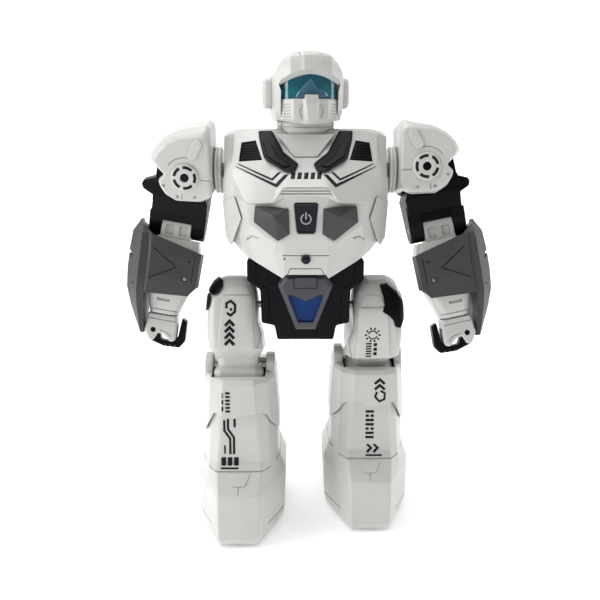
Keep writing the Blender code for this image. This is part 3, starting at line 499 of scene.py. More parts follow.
def wired(tree, kind, inputs=None, **settings):
    """A shader node with its settings, its sockets given a value or joined to another node's output."""
    node = tree.nodes.new(kind)
    for key, value in settings.items():
        setattr(node, key, value)
    for socket, value in (inputs or {}).items():
        if isinstance(value, bpy.types.NodeSocket):
            tree.links.new(value, node.inputs[socket])
        else:
            node.inputs[socket].default_value = value
    return node


def moulded(name, colour, roughness, drift=0.05, grain=0.02, edge=0.35, crevice_shade=0.0, coat=0.0, metallic=0.0,
            specular=0.5):
    """Moulded plastic: its tone drifts a little, its polish varies, its skin is faintly grained and its edges
    are eased. Painted shade darkens the colour where faces meet."""
    found = bpy.data.materials.new(name)
    found.use_nodes = True
    tree = found.node_tree
    shader = tree.nodes["Principled BSDF"]
    shader.inputs["Metallic"].default_value = metallic
    shader.inputs["Coat Weight"].default_value = coat
    shader.inputs["Specular IOR Level"].default_value = specular
    shader.inputs["Coat Roughness"].default_value = 0.12
    where = wired(tree, "ShaderNodeTexCoord").outputs["Object"]
    broad = wired(tree, "ShaderNodeTexNoise", {"Vector": where, "Scale": 45.0, "Detail": 3.0})
    tone = wired(tree, "ShaderNodeMapRange",
                 {"Value": broad.outputs["Fac"], "From Min": 0.3, "From Max": 0.7,
                                              "To Min": 1.0 - drift, "To Max": 1.0 + drift * 0.5})
    tinted = wired(tree, "ShaderNodeVectorMath", {0: colour, "Scale": tone.outputs["Result"]},
                   operation="SCALE")
    shade = tinted.outputs["Vector"]
    if crevice_shade:
        # Painted shade: ambient occlusion darkens the colour in crevices and grooves.
        crevice = wired(tree, "ShaderNodeAmbientOcclusion", {"Distance": 2.2 * MM}, samples=6)
        depth = wired(tree, "ShaderNodeMapRange",
                      {"Value": crevice.outputs["AO"], "From Min": 0.25, "From Max": 0.85,
                                                   "To Min": 1.0 - crevice_shade, "To Max": 1.0})
        shade = wired(tree, "ShaderNodeVectorMath", {0: shade, "Scale": depth.outputs["Result"]},
                      operation="SCALE").outputs["Vector"]
    tree.links.new(shade, shader.inputs["Base Color"])
    fine = wired(tree, "ShaderNodeTexNoise", {"Vector": where, "Scale": 900.0, "Detail": 2.0})
    polish = wired(tree, "ShaderNodeMapRange", {"Value": fine.outputs["Fac"], "To Min": roughness - 0.05,
                                                "To Max": roughness + 0.07})
    tree.links.new(polish.outputs["Result"], shader.inputs["Roughness"])
    eased_edge = wired(tree, "ShaderNodeBevel", {"Radius": edge * MM}, samples=4)
    skin = wired(tree, "ShaderNodeBump", {"Strength": grain * 4.0, "Distance": 0.05 * MM,
                                          "Height": fine.outputs["Fac"],
                                          "Normal": eased_edge.outputs["Normal"]})
    tree.links.new(skin.outputs["Normal"], shader.inputs["Normal"])
    return found


def tinted_visor():
    """Clear tinted sheet, its colour painted with reflection: navy at the brow to teal, with cloudy bands
    of reflected light.
    """
    found = moulded("visor_teal", (0.004, 0.10, 0.13), 0.08, drift=0.0, grain=0.0, coat=1.0)
    tree = found.node_tree
    shader = tree.nodes["Principled BSDF"]
    shader.inputs["Coat Roughness"].default_value = 0.03
    place = wired(tree, "ShaderNodeTexCoord").outputs["Object"]
    parts = wired(tree, "ShaderNodeSeparateXYZ", {"Vector": place})
    low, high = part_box("visor")
    height = wired(tree, "ShaderNodeMapRange",
                   {"Value": parts.outputs["Z"], "From Min": low.z, "From Max": high.z})
    # Painted reflection: height and noise clouds drive a colour ramp that stands in for light off and through the
    # visor.
    reflection_clouds = wired(tree, "ShaderNodeTexNoise", {"Vector": place, "Scale": 70.0, "Detail": 1.0})
    sway = wired(tree, "ShaderNodeMath", {0: height.outputs["Result"], 1: reflection_clouds.outputs["Fac"]},
                 operation="ADD")
    ramp = wired(tree, "ShaderNodeValToRGB",
                 {"Fac": wired(tree, "ShaderNodeMath", {0: sway.outputs["Value"], 1: 0.6},
                                                           operation="MULTIPLY").outputs["Value"]})
    stops = ((0.12, (0.002, 0.07, 0.12)), (0.34, (0.004, 0.13, 0.15)), (0.55, (0.006, 0.15, 0.17)),
             (0.72, (0.004, 0.085, 0.13)))
    for stop, colour in stops[2:]:
        ramp.color_ramp.elements.new(stop).color = (*colour, 1.0)
    for element, (stop, colour) in zip(sorted(ramp.color_ramp.elements, key=lambda e: e.position),
                                       sorted(stops)):
        element.position = stop
        element.color = (*colour, 1.0)
    tree.links.new(ramp.outputs["Color"], shader.inputs["Base Color"])
    return found


def gather_materials():
    """Every finished material, under the name of its slot or of the detail that wears it."""
    # Where a material takes a crevice value, ambient occlusion paints shade into its colour where faces meet.
    return {
        "white_plastic": moulded("white_plastic", (0.66, 0.66, 0.635), 0.34, 0.04, 0.02, 0.45, crevice_shade=0.4,
                                 coat=0.15),
        "black_plastic": moulded("black_plastic", (0.0035, 0.004, 0.0058), 0.4, 0.3, 0.05, 0.4,
                                 specular=0.14),
        "grey_plastic": moulded("grey_plastic", (0.058, 0.058, 0.060), 0.46, 0.1, 0.06, 0.4, crevice_shade=0.4,
                                specular=0.4),
        "dark_panel": moulded("dark_panel", (0.055, 0.055, 0.054), 0.4, 0.12, 0.05, 0.4, crevice_shade=0.3,
                              specular=0.4),
        "button_black": moulded("button_black", (0.003, 0.004, 0.010), 0.22, 0.15, 0.01, 0.4, coat=0.25,
                                specular=0.3),
        "icon_grey": moulded("icon_grey", (0.42, 0.44, 0.47), 0.4, 0.1, 0.02, 0.05),
        "decal_ink": moulded("decal_ink", (0.006, 0.006, 0.007), 0.5, 0.5, 0.04, 0.03, specular=0.3),
        "deep_black": moulded("deep_black", (0.002, 0.002, 0.004), 0.6, 0.2, 0.02, 0.1, specular=0.2),
        "blue_lens": moulded("blue_lens", (0.0008, 0.04, 0.2), 0.3, 0.35, 0.01, 0.3, specular=0.2),
        "belt_metal": moulded("belt_metal", (0.075, 0.075, 0.09), 0.42, 0.1, 0.04, 0.3, crevice_shade=0.3,
                              specular=0.4),
        "steel": moulded("steel", (0.55, 0.55, 0.54), 0.3, 0.1, 0.03, 0.2, metallic=1.0),
        "tyre_rubber": moulded("tyre_rubber", (0.022, 0.022, 0.022), 0.82, 0.3, 0.2, 0.3),
        "circuit_green": moulded("circuit_green", (0.015, 0.12, 0.05), 0.45, 0.3, 0.05, 0.1),
        "battery_blue": moulded("battery_blue", (0.03, 0.08, 0.3), 0.4, 0.1, 0.03, 0.3),
        "gearbox_grey": moulded("gearbox_grey", (0.3, 0.31, 0.32), 0.55, 0.08, 0.08, 0.3, crevice_shade=0.4),
        "visor_teal": tinted_visor(),
        "visor_glint": moulded("visor_glint", (0.06, 0.17, 0.27), 0.1, 0.35, 0.0, 0.05, coat=1.0),
    }


MATERIALS = gather_materials()


def dress_nodes():
    """Every CAD node that stays shows the finished material of its slot."""
    slots = {part["node"]: part["material_slot"] for part in frame["record"]["subparts"]}
    for name, node in NODES.items():
        node.data.materials.clear()
        node.data.materials.append(MATERIALS[slots[name]])


# ---------------------------------------------------------------- fittings


def decal(skin, outline, view, name, material="decal_ink"):
    """A printed mark a hair above the skin."""
    return made(name, draped(skin, outline, view, -INK_SINK, INK_RISE, 1.0), skin.body, material)


def screw(skin, a, b, view, name, radius=1.7):
    """A cross-head screw seen at the bottom of its bore."""
    depth = skin.depth(view, a, b)
    out = -SIGHT[view]
    profile = [(radius, depth - out * 0.6), (radius, depth + out * 0.25), (radius * 0.7, depth + out * 0.6)]
    head = turned(profile, view, (a, b), 24)
    piece = made(name, head, skin.body, "steel")
    arm = radius * 0.62
    bars = [pushed(rounded(a - du, a + du, b - dw, b + dw, 0.1), view, depth, depth + out * 2)
            for du, dw in ((arm, CROSS), (CROSS, arm))]
    return crisp(carved(piece, bars))


def printed(skin, outlines, view, name):
    """Several printed marks as one piece."""
    marks = [draped(skin, outline, view, -INK_SINK, INK_RISE, 1.2) for outline in outlines]
    return made(name, merged(*marks), skin.body, "decal_ink")


def dimple(skin, view, a, b, radius, depth):
    """A round cutter sunk in the skin."""
    level = skin.depths(view, [(a, b)])[0]
    out = -SIGHT[view]
    return turned([(radius, level + out * 1.2), (radius, level - out * depth)], view, (a, b), 20)


# ---------------------------------------------------------------- head


# The crest along the dome's middle stands a little higher than the dome.
CREST_HALF = 5.5
CREST_RISE = 0.8
CREST_FOOT = 327.0
MASK_TOP = 302.2


def helmet_level(z, half, front, back):
    """Half of one level of the helmet, from the brow's middle to the nape: crest, brow, temple and side."""
    return [(0.0, front - 0.2, z), (5.0, front, z), (6.8, front + 1.1, z),
            (min(13.5, half - 2.6), front + 2.8, z),
            (half - 1.0, min(-15.0, front * 0.6), z), (half, -5.0, z), (half, back * 0.36, z),
            (half * 0.84, back * 0.76, z), (half * 0.42, back * 0.98, z), (0.0, back, z)]


def whole_ring(half_ring):
    """A ring from its half, whose first and last points lie on the middle."""
    return half_ring + [(-x, y, z) for x, y, z in reversed(half_ring[1:-1])]


def build_helmet():
    """The helmet with its face opening, its crest and the grooves at its back."""
    levels = [(288.6, 22.0, -24.0, 21.5), (294.0, 23.6, -27.0, 24.0), (305.0, 23.9, -29.0, 26.0),
              (313.6, 23.8, -30.6, 26.4), (318.2, 23.2, -31.4, 26.0), (321.8, 21.8, -31.6, 25.0),
              (325.2, 19.8, -31.0, 22.6), (328.2, 17.2, -29.4, 19.4), (330.4, 14.4, -26.0, 15.6),
              (331.6, 11.6, -19.8, 11.6), (332.0, 7.4, -12.0, 7.0)]
    rings = [whole_ring(helmet_level(*level)) for level in levels]
    lifted = [[(x, y, z + (CREST_RISE if abs(x) < CREST_HALF and z > CREST_FOOT else 0.0)) for x, y,
               z in ring]
              for ring in rings]
    outside = made("helmet_shell_looks", lofted(lifted), "head")
    eased(outside, 1.1, 12.0, 3)
    core = [[(x * 0.885, y * 0.9 + (2.0 if y < 0 else 0.0), z) for x, y, z in ring] for ring in rings[:7]]
    core[0] = [(x, y, 280.0) for x, y, z in core[0]]
    arch = [(19.0, 278.0), (19.0, 309.0), (20.4, 313.2), (16.4, 316.0), (12.0, 317.8), (6.0, 319.3),
            (0.0, 319.8)]
    front = arch + [(-x, z) for x, z in reversed(arch[:-1])]
    deep = [(x * 0.98, z - (4.2 if z > 300.0 else 0.0)) for x, z in front]
    mouth = lofted([[(x, -42.0, z + (3.0 if z > 300.0 else 0.0)) for x, z in front],
                    [(x, -31.0, z) for x, z in front],
                    [(x, -24.0, z - 0.6) for x, z in front],
                    [(x, -13.0, z) for x, z in deep]])
    carved(outside, [lofted(core)])
    carved(outside, [mouth])
    skin = Skin(outside)
    grooves = [trench(skin, [(-4.6, z), (4.6, z)], "back", *PANEL_LINE) for z in (299.0, 302.0, 305.0,
                                                                                  308.0)]
    grooves += [trench(skin, [(s * 15.5, 326.0), (s * 11.0, 313.0), (s * 11.0, 291.0)], "back", *PANEL_LINE)
                for s in (-1, 1)]
    grooves += [trench(skin, [(s * 7.2, -28.5), (s * 7.2, 12.0)], "top", 0.55, 0.5) for s in (-1, 1)]
    carved(outside, grooves)
    crisp(outside)
    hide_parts("helmet_shell")


def build_brow_lining():
    """The lining under the brow, which slopes back to the visor."""
    rim = []
    for x in range(-20, 21, 2):
        height = 319.6 - 6.2 * (abs(x) / 20.4) ** 2
        lip = -30.6 + 0.012 * x * x + 0.0003 * abs(x) ** 3
        rim.append([(x, lip + 1.6, height + 1.2), (x, lip + 0.9, height - 0.1),
                    (x * 0.96, lip + 6.6 - abs(x) * 0.12, height - 2.9),
                    (x * 0.96, lip + 9.0, height - 1.6)])
    lining = made("brow_lining", lofted(rim), "head")
    crisp(eased(lining, 0.3, 30.0, 2))


def build_visor():
    """A bowed tinted sheet with the light it throws back."""
    plan = [(0.0, -26.3), (5.0, -26.1), (10.0, -24.9), (14.5, -22.7), (17.2, -20.0), (19.0, -16.8)]
    bow = [(-x, y) for x, y in reversed(plan[1:])] + plan
    rows = [[(x, y + lean, z) for x, y in bow] for z, lean in ((301.2, 0.4), (309.0, 0.0), (318.2, 0.8))]
    sheet = made("visor_looks", skinned(rows), "head", "visor_teal", closed=False)
    faced(sheet, "front")
    round_off = sheet.modifiers.new("Bow", "SUBSURF")
    round_off.levels = 2
    baked(sheet)
    thickened(sheet, 1.6)
    crisp(sheet)
    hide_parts("visor")
    skin = Skin(sheet)
    glint = [(-10.2, 302.2), (-8.6, 305.8), (-3.8, 311.6), (0.2, 314.8), (2.4, 311.4), (4.4, 308.6),
             (9.6, 306.8),
             (12.2, 303.6), (5.0, 302.4)]
    made("visor_glint", draped(skin, glint, "front", -0.15, 0.04, 1.5), "head", "visor_glint")


def build_mask():
    """Face mask: flat middle, cheeks with slots, a ridged nose and a chin that comes to a shallow point."""
    rows = []
    for z, lean, drop in ((MASK_TOP, 0.6, 0.0), (301.4, 0.0, 0.0), (294.4, -0.2, 0.0), (289.4, 0.0, 0.6),
                          (287.4, 1.6, 1.6)):
        fall = (MASK_TOP - z) / 16.0
        nose = 3.9 - 2.2 * fall
        half = [(0.0, -30.7 + fall, z - drop * 0.75), (nose, -30.6 + fall, z - drop * 0.75),
                (5.6 - 0.4 * fall, -27.6, z - drop * 0.7), (11.4, -26.6, z - drop * 0.25),
                (12.0, -26.0, z - drop * 0.2),
                (15.4, -22.8, z + drop * 0.3), (19.5, -17.0, z + drop * 0.9)]
        rows.append([(-x, y + lean, z) for x, y, z in reversed(half[1:])] + [(x, y + lean, z) for x, y,
                                                                             z in half])
    mask = made("face_mask_looks", skinned(rows), "head", closed=False)
    faced(mask, "front")
    thickened(mask, 2.4)
    eased(mask, 0.5, 14.0, 3)
    skin = Skin(mask)
    slots = []
    for s in (-1, 1):
        for z in (290.8, 292.8, 294.8, 296.8, 298.8):
            slots.append(trench(skin, [(s * 13.0, z), (s * 17.2, z)], "front", 0.7, 0.5, 1.2))
    carved(mask, slots)
    crisp(mask)
    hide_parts("face_mask")
    for side, s in SIDES.items():
        ridge = [(s * 6.2, 298.4), (s * 8.7, 295.8), (s * 8.2, 292.6), (s * 6.8, 289.8)]
        raised = made(f"{side}_cheek_ridge", draped(skin, band(ridge, 0.9), "front", -0.3, 0.75, 1.0),
                      "head")
        crisp(eased(raised, 0.25, 40.0, 2))
    levels = ((300.4, 4.3, 30.9), (304.2, 4.2, 30.4), (304.7, 3.6, 29.8))
    rings = [[(x, y, z) for x, y in rounded(-half, half, -front, -24.6, 0.6)] for z, half, front in levels]
    bridge = made("nose_bridge", lofted(rings), "head")
    crisp(eased(bridge, 0.3, 30.0, 2))


def build_ears():
    """Stepped ear pods with a groove round each."""
    for side, s in SIDES.items():
        shape = [(23.4, 0.2, 4.6), (26.6, 0.0, 4.6), (28.0, 0.5, 4.4), (28.8, 1.4, 4.0), (28.8, 2.4, 3.6),
                 (27.9, 2.9, 3.4),
                 (27.9, 3.6, 3.0), (28.9, 4.2, 2.6), (29.4, 5.0, 2.0)]
        rings = [[(s * x, a, b) for a, b in rounded(-8.6 + i, 8.6 - i, 296.4 + i, 316.8 - i, max(1.0, r))]
                 for x, i, r in shape]
        pod = made(f"{side}_ear_pod_looks", lofted(rings), "head")
        crisp(pod)
        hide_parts(f"{side}_ear_pod")


def build_neck():
    """The neck ring with its bead and two joint lines."""
    profile = [(17.0, 273.0), (19.2, 273.0), (19.9, 281.2), (19.9, 283.9), (19.3, 284.2), (19.3, 284.8),
               (19.9, 285.1),
               (19.9, 287.6), (19.4, 288.4), (15.0, 288.6), (15.0, 273.0)]
    neck = made("neck_ring_looks", hooped(profile, "top", sides=64), "head")
    skin = Skin(neck)
    carved(neck, [trench(skin, [(s * 17.2, 281.6), (s * 17.2, 287.2)], "front", 0.5, 0.7) for s in (-1, 1)])
    crisp(neck)
    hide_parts("neck_ring")


# ---------------------------------------------------------------- torso

# Half rows of the chest from the top down, each from the middle outwards to the parting plane.
CHEST_ROWS = [
    [(0, -0.15, 283.6), (8, -0.15, 283.6), (14, -0.15, 283.6), (22, -0.15, 283.6), (30, -0.15, 283.6),
     (38, -0.15, 283.6), (46, -0.15, 283.2), (51, -0.15, 282.2), (53.5, -0.15, 281.0)],
    [(0, -13, 283.4), (8, -13, 283.4), (14, -13, 283.4), (22, -13, 283.4), (30, -12, 283.6),
     (38, -10, 283.6),
     (46, -7, 283.0), (51, -4, 282.0), (53.7, -0.15, 280.8)],
    [(0, -16.5, 280.6), (8, -16.5, 280.6), (16.5, -16.0, 280.6), (23, -14.8, 282.4), (31, -14, 282.4),
     (39, -13, 281.8), (48.5, -11, 280.6), (54, -8, 278.6), (56.0, -0.15, 278)],
    [(0, -29, 266), (7.5, -29, 266), (13.5, -28.4, 268), (20, -27.5, 270), (30, -26.5, 270.5),
     (38, -24.6, 270.5), (47, -21.5, 269.5), (54.6, -13, 267), (56.2, -0.15, 267)],
    [(0, -36.5, 259.5), (7.5, -36.5, 259.5), (13.0, -36.8, 260), (20, -36, 261.5), (29, -34.4, 263),
     (38, -31, 263.6), (46.4, -26.5, 262.5), (54.6, -17, 257), (55.6, -0.15, 256)],
    [(0, -47.6, 250), (8.5, -47.6, 250), (13.5, -47.8, 249.8), (19, -47.4, 247.6), (28.5, -42.4, 251.4),
     (38, -37, 255.4), (47, -30, 259.2), (55.0, -18, 253), (55.9, -0.15, 252)],
    [(0, -50, 247.6), (8.5, -50, 247.6), (14.8, -50, 247.4), (21, -48.6, 238), (30, -46.2, 237.2),
     (39.2, -42.4, 237.4), (48.6, -30.6, 254.4), (55.6, -18.4, 248), (56.2, -0.15, 248)],
    [(0, -47.2, 241.6), (8.5, -47.2, 241.6), (14.2, -46.4, 240.4), (20.6, -43.0, 236.4), (30, -40.8, 235.8),
     (38.4, -37.6, 236.2), (46.8, -29.0, 240), (55.8, -17.4, 236), (56.4, -0.15, 236)],
    [(0, -45.6, 215.4), (8, -45.6, 215.4), (13.5, -45.4, 213.4), (19, -44.6, 210.6), (28, -41.4, 216.6),
     (37, -38.0, 222.6), (43, -30.5, 224), (53.0, -15.0, 219), (54.0, -0.15, 218)],
    [(0, -43.6, 203.2), (8, -43.6, 203.2), (15, -43.4, 203.2), (22, -40.8, 204), (31, -36.8, 207.4),
     (39, -32.0, 211.5), (44.0, -26, 213), (50.0, -14, 208), (51, -0.15, 208)],
    [(0, -41, 189.4), (8, -41, 189.4), (13.6, -41, 189.4), (15.4, -40, 186.8), (24, -35.6, 191.2),
     (33, -30, 195.6),
     (39.6, -24, 198.8), (45, -15, 201.4), (46, -0.15, 201.6)],
]
BACK_ROWS = [
    [(0, 0.15, 283.6), (22, 0.15, 283.6), (38, 0.15, 283.6), (46, 0.15, 283.2), (53.5, 0.15, 281.0)],
    [(0, 13, 283.4), (22, 13, 283.4), (38, 10, 283.4), (46, 7, 282.8), (53.7, 0.15, 280.8)],
    [(0, 19, 280), (23, 18, 281), (39, 15, 280.6), (50, 11, 279), (56.0, 0.15, 278)],
    [(0, 31, 268), (22, 31, 268), (38, 28, 267), (51, 18, 267), (56.2, 0.15, 267)],
    [(0, 37, 250), (25, 37, 250), (41, 32, 250), (53.5, 19, 250), (56.2, 0.15, 250)],
    [(0, 37, 236), (26, 37, 236), (41, 32, 236), (53.5, 18, 236), (56.4, 0.15, 236)],
    [(0, 36.4, 214), (25, 36.4, 214), (39, 31, 214), (50, 15, 216), (54, 0.15, 218)],
    [(0, 33, 200), (22, 33, 200), (34, 28, 200), (43, 15, 201), (46, 0.15, 201.6)],
]
COLLAR = [(31.4, 282.2), (30.6, 276.4), (27.2, 265.5), (24.6, 262.9), (12.4, 256.4), (7.2, 256.8),
          (4.8, 261.4),
          (14.4, 268.6), (16.8, 273.0), (22.4, 282.2)]
COLLAR_FACET = [(28.4, 275.6), (25.2, 266.2), (13.6, 259.4), (9.4, 260.6), (19.0, 267.2), (22.0, 273.8)]
VENT = [(42.6, 274.4), (33.0, 275.9), (28.2, 263.7), (43.9, 262.4)]
STRIPES = [[(46.4, 259.6), (45.4, 259.6), (19.4, 249.5), (13.9, 254.9), (11.2, 254.9), (18.6, 247.2)],
           [(45.2, 261.3), (43.6, 261.3), (21.9, 252.7), (17.9, 256.4), (16.0, 256.4), (21.5, 251.2)]]
BUTTON = [(-8.0, 236.6), (-6.8, 237.8), (6.8, 237.8), (8.0, 236.6), (6.2, 218.8), (5.0, 217.4),
          (-5.0, 217.4),
          (-6.2, 218.8)]
BELT = [(13.3, 187.6), (18.8, 180.0), (6.9, 148.9)]
LENS = [(0, 171.4), (5.4, 174.0), (11.2, 176.4), (13.8, 173.2), (6.4, 153.0)]
LENS += [(-a, b) for a, b in reversed(LENS[1:])]
EYE = (0.0, 200.2)
DOOR_SCREW = (0.0, 241.5)
PELVIS = [(19.8, 138.8), (21.6, 149.0), (30.8, 151.0), (31.4, 174.8), (40.4, 181.2), (40.4, 195.4),
          (33.0, 201.4)]


def both_halves(row):
    """A whole row from the half of it on +X."""
    return [(-x, y, z) for x, y, z in reversed(row[1:])] + list(row)


def on_side(outline, s):
    """An outline drawn for the left side, or its mirror image for the right."""
    return outline if s > 0 else flipped(outline)


def neck_holes():
    """The stepped seat of the neck ring, cut from both halves of the chest."""
    return [turned([(20.6, 280.2), (20.6, 292.0)], "top"), turned([(14.5, 270.0), (14.5, 290.0)], "top")]


def build_flanks(name, ring, root, width):
    """The flanks under both arms, as one piece."""
    flanks = [lofted([[(s * x, y, z) for x, y, z in level] for level in (ring, root)]) for s in (-1, 1)]
    crisp(eased(made(name, merged(*flanks), "torso"), width, 12.0, 3))


def build_chest():
    """The chest's front shell and everything laid on it."""
    chest = made("chest_front_looks", skinned([both_halves(row) for row in CHEST_ROWS]), "torso",
                 closed=False)
    faced(chest, "front")
    thickened(chest, 3.0)
    eased(chest, 0.9, 11.0, 3)
    build_flanks("chest_wings",
                 [(42.6, -33.4, 226), (51.0, -22.0, 205.6), (55.0, -16, 211), (56.4, -16.6, 236),
                  (47.2, -30.6, 240)],
                 [(38, -0.2, 222), (50, -0.2, 206), (56.0, -0.2, 211.5), (56.5, -0.2, 236),
                  (44, -0.2, 240)], 0.8)
    skin = Skin(chest)
    holes = neck_holes()
    holes += [pushed(inset(BUTTON, -0.5), "front", -60.0, -38.0),
              turned([(3.1, -60.0), (3.1, -38.0)], "front", EYE),
              turned([(0.75, -60.0), (0.75, -41.0)], "front", (-14.0, 200.5), 12)]
    lines = []
    for s in (-1, 1):
        lines += [draped(skin, on_side(VENT, s), "front", -1.5, 3.0, 2.5),
                  trench(skin, [(s * 39.0, 211.8), (s * 35.4, 214.6), (s * 31.2, 213.6)], "front", 1.1,
                         0.8),
                  trench(skin, [(s * 48.2, 277.8), (s * 49.4, 262.0)], "front", *FINE_LINE)]
    lines += [trench(skin, [(-15.4, 202.8), (15.4, 202.8)], "front", 0.6, 0.7),
              trench(skin, [(-12.0, 189.8), (-10.2, 193.8), (10.2, 193.8), (12.0, 189.8)], "front",
                     *PANEL_LINE)]
    carved(chest, holes)
    carved(chest, lines)
    crisp(chest)
    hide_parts("chest_front_shell")
    for side, s in (("left", 1), ("right", -1)):
        build_collar(skin, side, s)
        build_vent(skin, side, s)
        for index, outline in enumerate(STRIPES):
            decal(skin, on_side(outline, s), "front", f"{side}_chest_stripe_{index}")
        build_chest_panel(skin, side, s)
    build_throat_plate()
    mark_chest(skin)


def build_collar(skin, side, s):
    """The black collar trim with a raised facet."""
    trim = made(f"{side}_collar_looks", draped(skin, on_side(COLLAR, s), "front", -2.5, 2.4, 2.2), "torso",
                "black_plastic")
    crisp(eased(trim, 0.9, 35.0, 3))
    raised = draped(skin, on_side(COLLAR_FACET, s), "front", 1.0, 3.5, 2.2)
    crisp(eased(made(f"{side}_collar_facet", raised, "torso", "black_plastic"), 0.7, 35.0, 3))
    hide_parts(f"{side}_collar_trim")


def build_vent(skin, side, s):
    """The dark floor of the vent and the ribs across it."""
    floor = draped(skin, on_side(inset(VENT, 0.2), s), "front", -1.5, -1.0, 2.5)
    made(f"{side}_vent", floor, "torso", "deep_black")
    for i in range(6):
        z = 264.6 + 1.7 * i
        near = 29.6 + (z - 263.7) * 0.38
        far = 43.1 - (z - 263) * 0.1
        bar = draped(skin, band([(s * near, z), (s * far, z - 0.4)], 0.55), "front", -1.2, -0.55, 2.0)
        crisp(made(f"{side}_vent_rib_{i}", bar, "torso", "black_plastic"))


def build_throat_plate():
    """The plate that slopes up to the neck ring."""
    foot = [(-7.5, -30.6, 265.6), (7.5, -30.6, 265.6), (7.5, -18.0, 265.6), (-7.5, -18.0, 265.6)]
    top = [(-19.0, -22.4, 280.0), (19.0, -22.4, 280.0), (14.0, -8.0, 280.0), (-14.0, -8.0, 280.0)]
    throat = made("throat_plate", lofted([foot, top]), "torso")
    eased(throat, 0.5, 20.0, 3)
    crisp(carved(throat, [turned([(20.3, 270.0), (20.3, 290.0)], "top", sides=64)]))


def mark_chest(skin):
    """Five slanted ticks, standing in for the lettering, over a louvre of three bars."""
    for i in range(5):
        x = -8.4 + 4.2 * i
        mark = [(x - 1.5, 252.4), (x + 1.1, 252.4), (x + 1.7, 256.2), (x - 0.9, 256.2)]
        decal(skin, mark, "front", f"chest_mark_{i}")
    for i, (z, half) in enumerate(((246.3, 14.4), (244.4, 15.4), (242.5, 16.4))):
        bar = [(-half, z - 0.55), (half, z - 0.55), (half - 0.6, z + 0.55), (-half + 0.6, z + 0.55)]
        louvre = made(f"chest_louvre_{i}", draped(skin, bar, "front", -0.6, 0.95, 2.0), "torso")
        crisp(eased(louvre, 0.3, 35.0, 2))


def build_chest_panel(skin, side, s):
    """A faceted grey panel whose top edge dips to a raised point."""
    edge = [(33.0, -42.0, 234.6), (24.6, -45.2, 234.8), (11.2, -47.8, 233.6), (10.6, -46.6, 217.2),
            (18.2, -46.0, 212.6), (34.0, -41.4, 224.4)]
    peak = (20.4, -50.2, 229.2)
    floor = [(x, -37.0, z) for x, y, z in edge]
    points = [(s * x, y, z) for x, y, z in edge + floor + [peak]]
    faces = [[0, 1, 12], [1, 2, 12], [2, 3, 12], [3, 4, 12], [4, 5, 12], [5, 0, 12], [11, 10, 9, 8, 7, 6]]
    faces += [[i, (i + 1) % 6, (i + 1) % 6 + 6, i + 6] for i in range(6)]
    panel = made(f"{side}_chest_panel_looks", (points, faces), "torso", "dark_panel")
    crisp(eased(panel, 0.45, 8.0, 3))
    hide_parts(f"{side}_chest_panel")
    rim = inset([(s * x, z) for x, y, z in edge], -1.3)
    bead = trench(skin, rim, "front", 1.9, 1.2, 2.0, closed=True, rise=1.0)
    crisp(eased(made(f"{side}_panel_surround", bead, "torso"), 0.5, 35.0, 3))


def build_power_button():
    """The dished power button with its icon."""
    shape = stepped(BUTTON, [(0.0, -39.0), (0.0, -46.9), (0.35, -47.4), (1.0, -47.7), (1.6, -47.4)])
    button = made("power_button_looks", shape, "button", "button_black")
    crisp(eased(button, 0.3, 20.0, 2))
    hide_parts("power_button")
    skin = Skin(button)
    decal(skin, arc(3.6, 0.85, 115, 425, (0.0, 227.2), 28), "front", "power_icon_ring", "icon_grey")
    decal(skin, band([(0.0, 227.0), (0.0, 231.6)], 0.85), "front", "power_icon_bar", "icon_grey")


def build_infrared_window():
    profile = [(3.0, -40.0), (3.0, -44.4), (2.7, -44.9), (2.1, -44.9), (1.9, -44.5), (1.2, -44.9),
               (0.4, -45.2)]
    eye = made("infrared_window_looks", turned(profile, "front", EYE, 32), "torso", "button_black")
    crisp(eye)
    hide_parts("infrared_window")


def build_belt_plate():
    """The belt plate, sunk round its light, with a tab above it."""
    shape = stepped(mirrored(BELT), [(0.0, -20.9), (0.0, -30.0), (0.8, -31.6), (2.6, -33.4)])
    plate = made("belt_plate_looks", shape, "torso", "belt_metal")
    eased(plate, 0.35, 15.0, 2)
    seat = stepped(LENS, [(-1.7, -35.0), (-1.7, -33.3), (0.0, -31.2)])
    line = slit([(-8.4, 186.6), (-7.6, 178.6), (7.6, 178.6), (8.4, 186.6)], 0.5, -34.5, -32.7)
    carved(plate, [seat, line])
    crisp(plate)
    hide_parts("belt_plate")
    top = [(-8.4, 178.4), (8.4, 178.4), (7.6, 187.0), (-7.6, 187.0)]
    tab = made("belt_tab", pushed(inset(top, 0.9), "front", -33.9, -32.0), "torso", "belt_metal")
    crisp(eased(tab, 0.3, 30.0, 2))


def build_belt_light():
    """The blue lens, its middle standing prouder than its arms."""
    low = [(a, -30.2, b) for a, b in LENS]
    face = [(a, -31.3 - (1.0 if abs(a) < 5.0 else 0.0), b) for a, b in inset(LENS, 0.25)]
    light = made("belt_light_looks", lofted([low, face]), "torso", "blue_lens")
    crisp(eased(light, 0.3, 12.0, 2))
    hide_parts("belt_light_panel")


